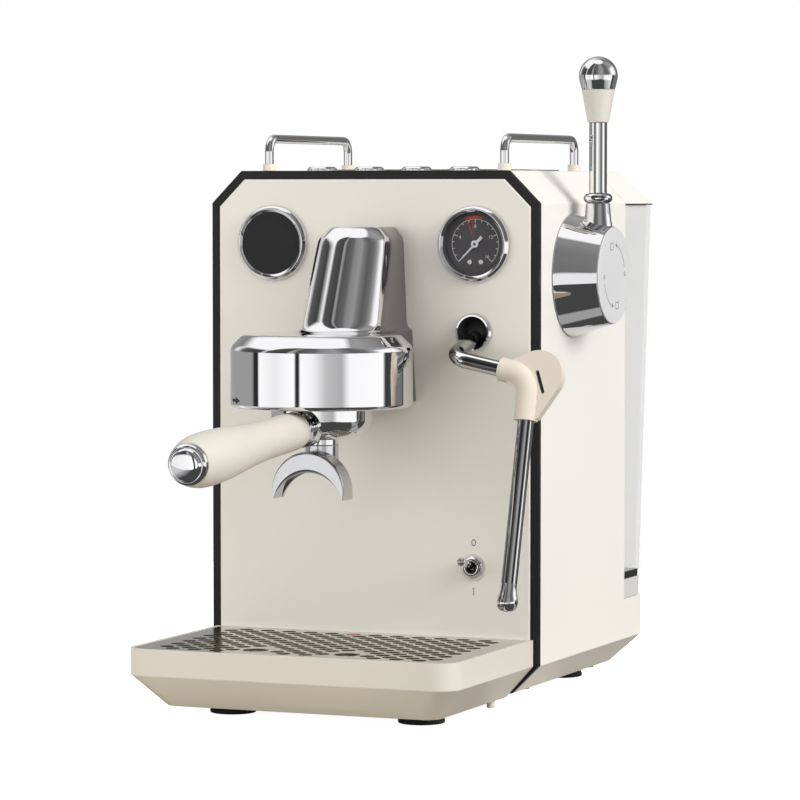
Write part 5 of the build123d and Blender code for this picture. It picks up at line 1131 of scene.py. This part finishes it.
@dataclass
class Studio(Assembly):
    """Pale floor, soft light and the photograph's viewpoint."""

    azimuth: float = 22.5
    elevation: float = 3.1
    lens: float = 172.6
    distance: float = 2.7036
    aim_right: float = 0.0207
    aim_height: float = 0.2125
    lamps: tuple[Softbox, ...] = (
        Softbox("key_softbox", (2.8, -0.35, 1.5), 1.6, 76),
        Softbox("fill_softbox", (-2.1, -1.8, 0.8), 1.6, 13),
        Softbox("front_bounce", (-0.3, -2.3, 0.15), 1, 8),
    )
    lamp_aim: Triple = (0, 0.05, 0.2)
    below: float = 0.12
    ambient: float = 0.93
    ambient_from: Pair = (-0.1, 0.1)
    zenith: float = 0.5
    zenith_from: Pair = (0.2, 0.9)
    floor_half: float = 0.9
    floor_rough: float = 0.9
    floor_seen: float = 0.955
    floor_left: Triple = (0.68, 0.6, 0.5)
    floor_right: Triple = (0.07, 0.06, 0.05)
    floor_fade: Pair = (-0.1, 0.35)
    floor_mirrored: Pair = (0.07, 0.7)
    floor_mirror_fade: Pair = (-0.2, -0.36)
    floor_strip: Stops = ((0, 0), (0.02, 0.34), (0.12, 0.34), (0.15, 0))
    floor_strip_from: float = -0.5
    mirror_gain: float = 1.3
    panel_top: Pair = (0.04, 0.12)
    sky_from: Pair = (0.5, 0.62)
    overhead_from: Pair = (0.94, 0.965)
    overhead: float = 0.9
    table_from: Pair = (-0.3, -0.5)
    table: float = 0.07
    panels: Stops = (
        (-180, 0.4), (-150, 0.3), (-98, 0.3), (-93, 0.02), (-87, 0.02), (-85, 0.95), (-60, 0.8), (-34, 0.98),
        (-32, 0.02), (-28, 0.02), (-26, 0.95), (-10, 0.85), (6, 0.5), (26, 0.4), (36, 0.9), (84, 0.95),
        (88, 0.04), (100, 0.05), (106, 0.16), (150, 0.13), (180, 0.4),
    )
    ceiling: Stops = (
        (-180, 0.3), (-150, 0.2), (-138, 0.75), (-130, 0.5), (-122, 0.1), (-96, 0.05), (-84, 0.05),
        (-80, 0.5), (-77, 0.5), (-74, 0.06), (-45, 0.05), (-41, 0.35), (-37, 0.3), (-32, 0.08), (-10, 0.12),
        (0, 0.24), (20, 0.3), (30, 0.18), (45, 0.1), (60, 0.14), (72, 0.3), (84, 0.9), (108, 0.95),
        (122, 0.5), (130, 0.13), (150, 0.13), (180, 0.3),
    )
    sky: Stops = (
        (-180, 0.4), (-150, 0.8), (-138, 0.9), (-76, 0.9), (-70, 0.08), (-45, 0.05), (-41, 0.3), (-37, 0.25),
        (-32, 0.08), (-10, 0.12), (0, 0.22), (20, 0.28), (30, 0.18), (45, 0.1), (60, 0.14), (76, 0.26),
        (110, 0.3), (140, 0.14), (180, 0.4),
    )

    def detail(self) -> None:
        """Set up the whole studio."""
        bpy.context.scene.view_settings.view_transform = "Standard"
        self.camera()
        self.world()
        self.floor()
        for box in self.lamps:
            self.lamp(box)

    def aim(self, thing: bpy.types.Object, at: Vector, look: Vector) -> None:
        """Stand a camera or a lamp at a place, facing along a direction."""
        thing.location, thing.rotation_mode = at, "QUATERNION"
        thing.rotation_quaternion = look.to_track_quat("-Z", "Y")

    def camera(self) -> None:
        """Place the camera at the photograph's viewing angle."""
        low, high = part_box("trim_frame")
        turn, rise = math.radians(self.azimuth), math.radians(self.elevation)
        back = Vector((math.sin(turn) * math.cos(rise), -math.cos(turn) * math.cos(rise), math.sin(rise)))
        data = bpy.data.cameras.new("viewpoint")
        data.lens = self.lens
        spot = Vector(((low[0] + high[0]) / 2 + self.aim_right, low[1], self.aim_height))
        bpy.context.scene.camera = camera = linked("viewpoint", data)
        self.aim(camera, spot + back * self.distance, -back)

    def lamp(self, box: Softbox) -> None:
        """Hang a softbox aimed at the machine's middle."""
        data = bpy.data.lights.new(box.name, "AREA")
        data.size, data.energy = box.side, box.power
        lamp, at = linked(box.name, data), Vector(box.at)
        lamp.visible_glossy = False
        self.aim(lamp, at, Vector(self.lamp_aim) - at)

    def world(self) -> None:
        """White to the eye, even for diffuse light, light panels and dark flags in reflections."""
        world = bpy.data.worlds.new("studio")
        bpy.context.scene.world = world
        world.use_nodes = True
        world.node_tree.nodes.clear()
        graph = Graph(world.node_tree)
        split = graph.add("SeparateXYZ", graph.add("TexCoord").outputs["Generated"])
        across, deep, height = split.outputs
        turn = graph.maths("ARCTAN2", across, graph.maths("MULTIPLY", deep, -1))
        turn = graph.maths("SUBTRACT", turn, math.radians(self.azimuth))
        share = graph.maths("FRACT", graph.maths("ADD", graph.maths("DIVIDE", turn, 2 * math.pi), 1.5))
        room, ceiling, sky = (
            graph.greys(share, stops, -180, 360) for stops in (self.panels, self.ceiling, self.sky)
        )
        for limits, tint in (
            (self.panel_top, ceiling),
            (self.sky_from, sky),
            (self.overhead_from, grey(self.overhead)),
            (self.table_from, grey(self.table)),
        ):
            room = graph.tinted(graph.spread(height, *limits), room, tint)
        dome = graph.tinted(graph.spread(height, *self.ambient_from), grey(self.below), grey(self.ambient))
        dome = graph.tinted(graph.spread(height, *self.zenith_from), dome, grey(self.zenith))
        path = graph.add("LightPath").outputs
        mirrored = graph.add("Background", room, self.mirror_gain)
        lit = graph.mixed(path["Is Glossy Ray"], graph.add("Background", dome), mirrored)
        seen = graph.maths("MAXIMUM", path["Is Camera Ray"], path["Is Transmission Ray"])
        whole = graph.mixed(seen, lit, graph.add("Background", grey(1)))
        graph.add("OutputWorld", whole.outputs[0])

    def floor(self) -> None:
        """Lay a pale floor that keeps the machine's shadow and has its own look in reflections."""
        graph = SurfaceGraph("pale_floor")
        across, deep, _ = graph.add("SeparateXYZ", graph.place).outputs
        path = graph.add("LightPath").outputs
        share = graph.spread(across, *self.floor_fade)
        graph.fill(
            graph.principled,
            Base_Color=graph.fade(share, (*self.floor_left, 1), (*self.floor_right, 1)),
            Roughness=self.floor_rough,
            Specular_IOR_Level=0,
            Emission_Color=grey(1),
            Emission_Strength=graph.maths("MULTIPLY", path["Is Camera Ray"], self.floor_seen),
        )
        shift = graph.maths("ADD", deep, -self.floor_strip_from)
        strip = graph.greys(shift, self.floor_strip, self.floor_strip_from)
        shine = graph.spread(across, *self.floor_mirror_fade, *self.floor_mirrored)
        mirrored = graph.add("Emission", Strength=graph.maths("ADD", shine, strip))
        chosen = graph.mixed(path["Is Glossy Ray"], graph.principled, mirrored)
        graph.fill(graph.tree.nodes["Material Output"], Surface=chosen.outputs[0])
        bm = bmesh.new()
        bmesh.ops.create_grid(bm, x_segments=8, y_segments=8, size=self.floor_half)
        mesh = bpy.data.meshes.new("floor")
        bm.to_mesh(mesh)
        bm.free()
        mesh.materials.append(graph.material)
        floor = linked("floor", mesh)


def main() -> None:
    """Build every sub-assembly in order, then the studio."""
    logging.basicConfig(level=logging.INFO, format="%(name)s: %(message)s")
    assemblies = (
        Casing, DripTray, WaterTank, TopDeck, Gauges, PowerSwitch, BrewGroup, Portafilter, SteamWand,
        ValveLever, Studio,
    )
    for assembly in assemblies:
        assembly().build()


if __name__ == "__main__":
    main()
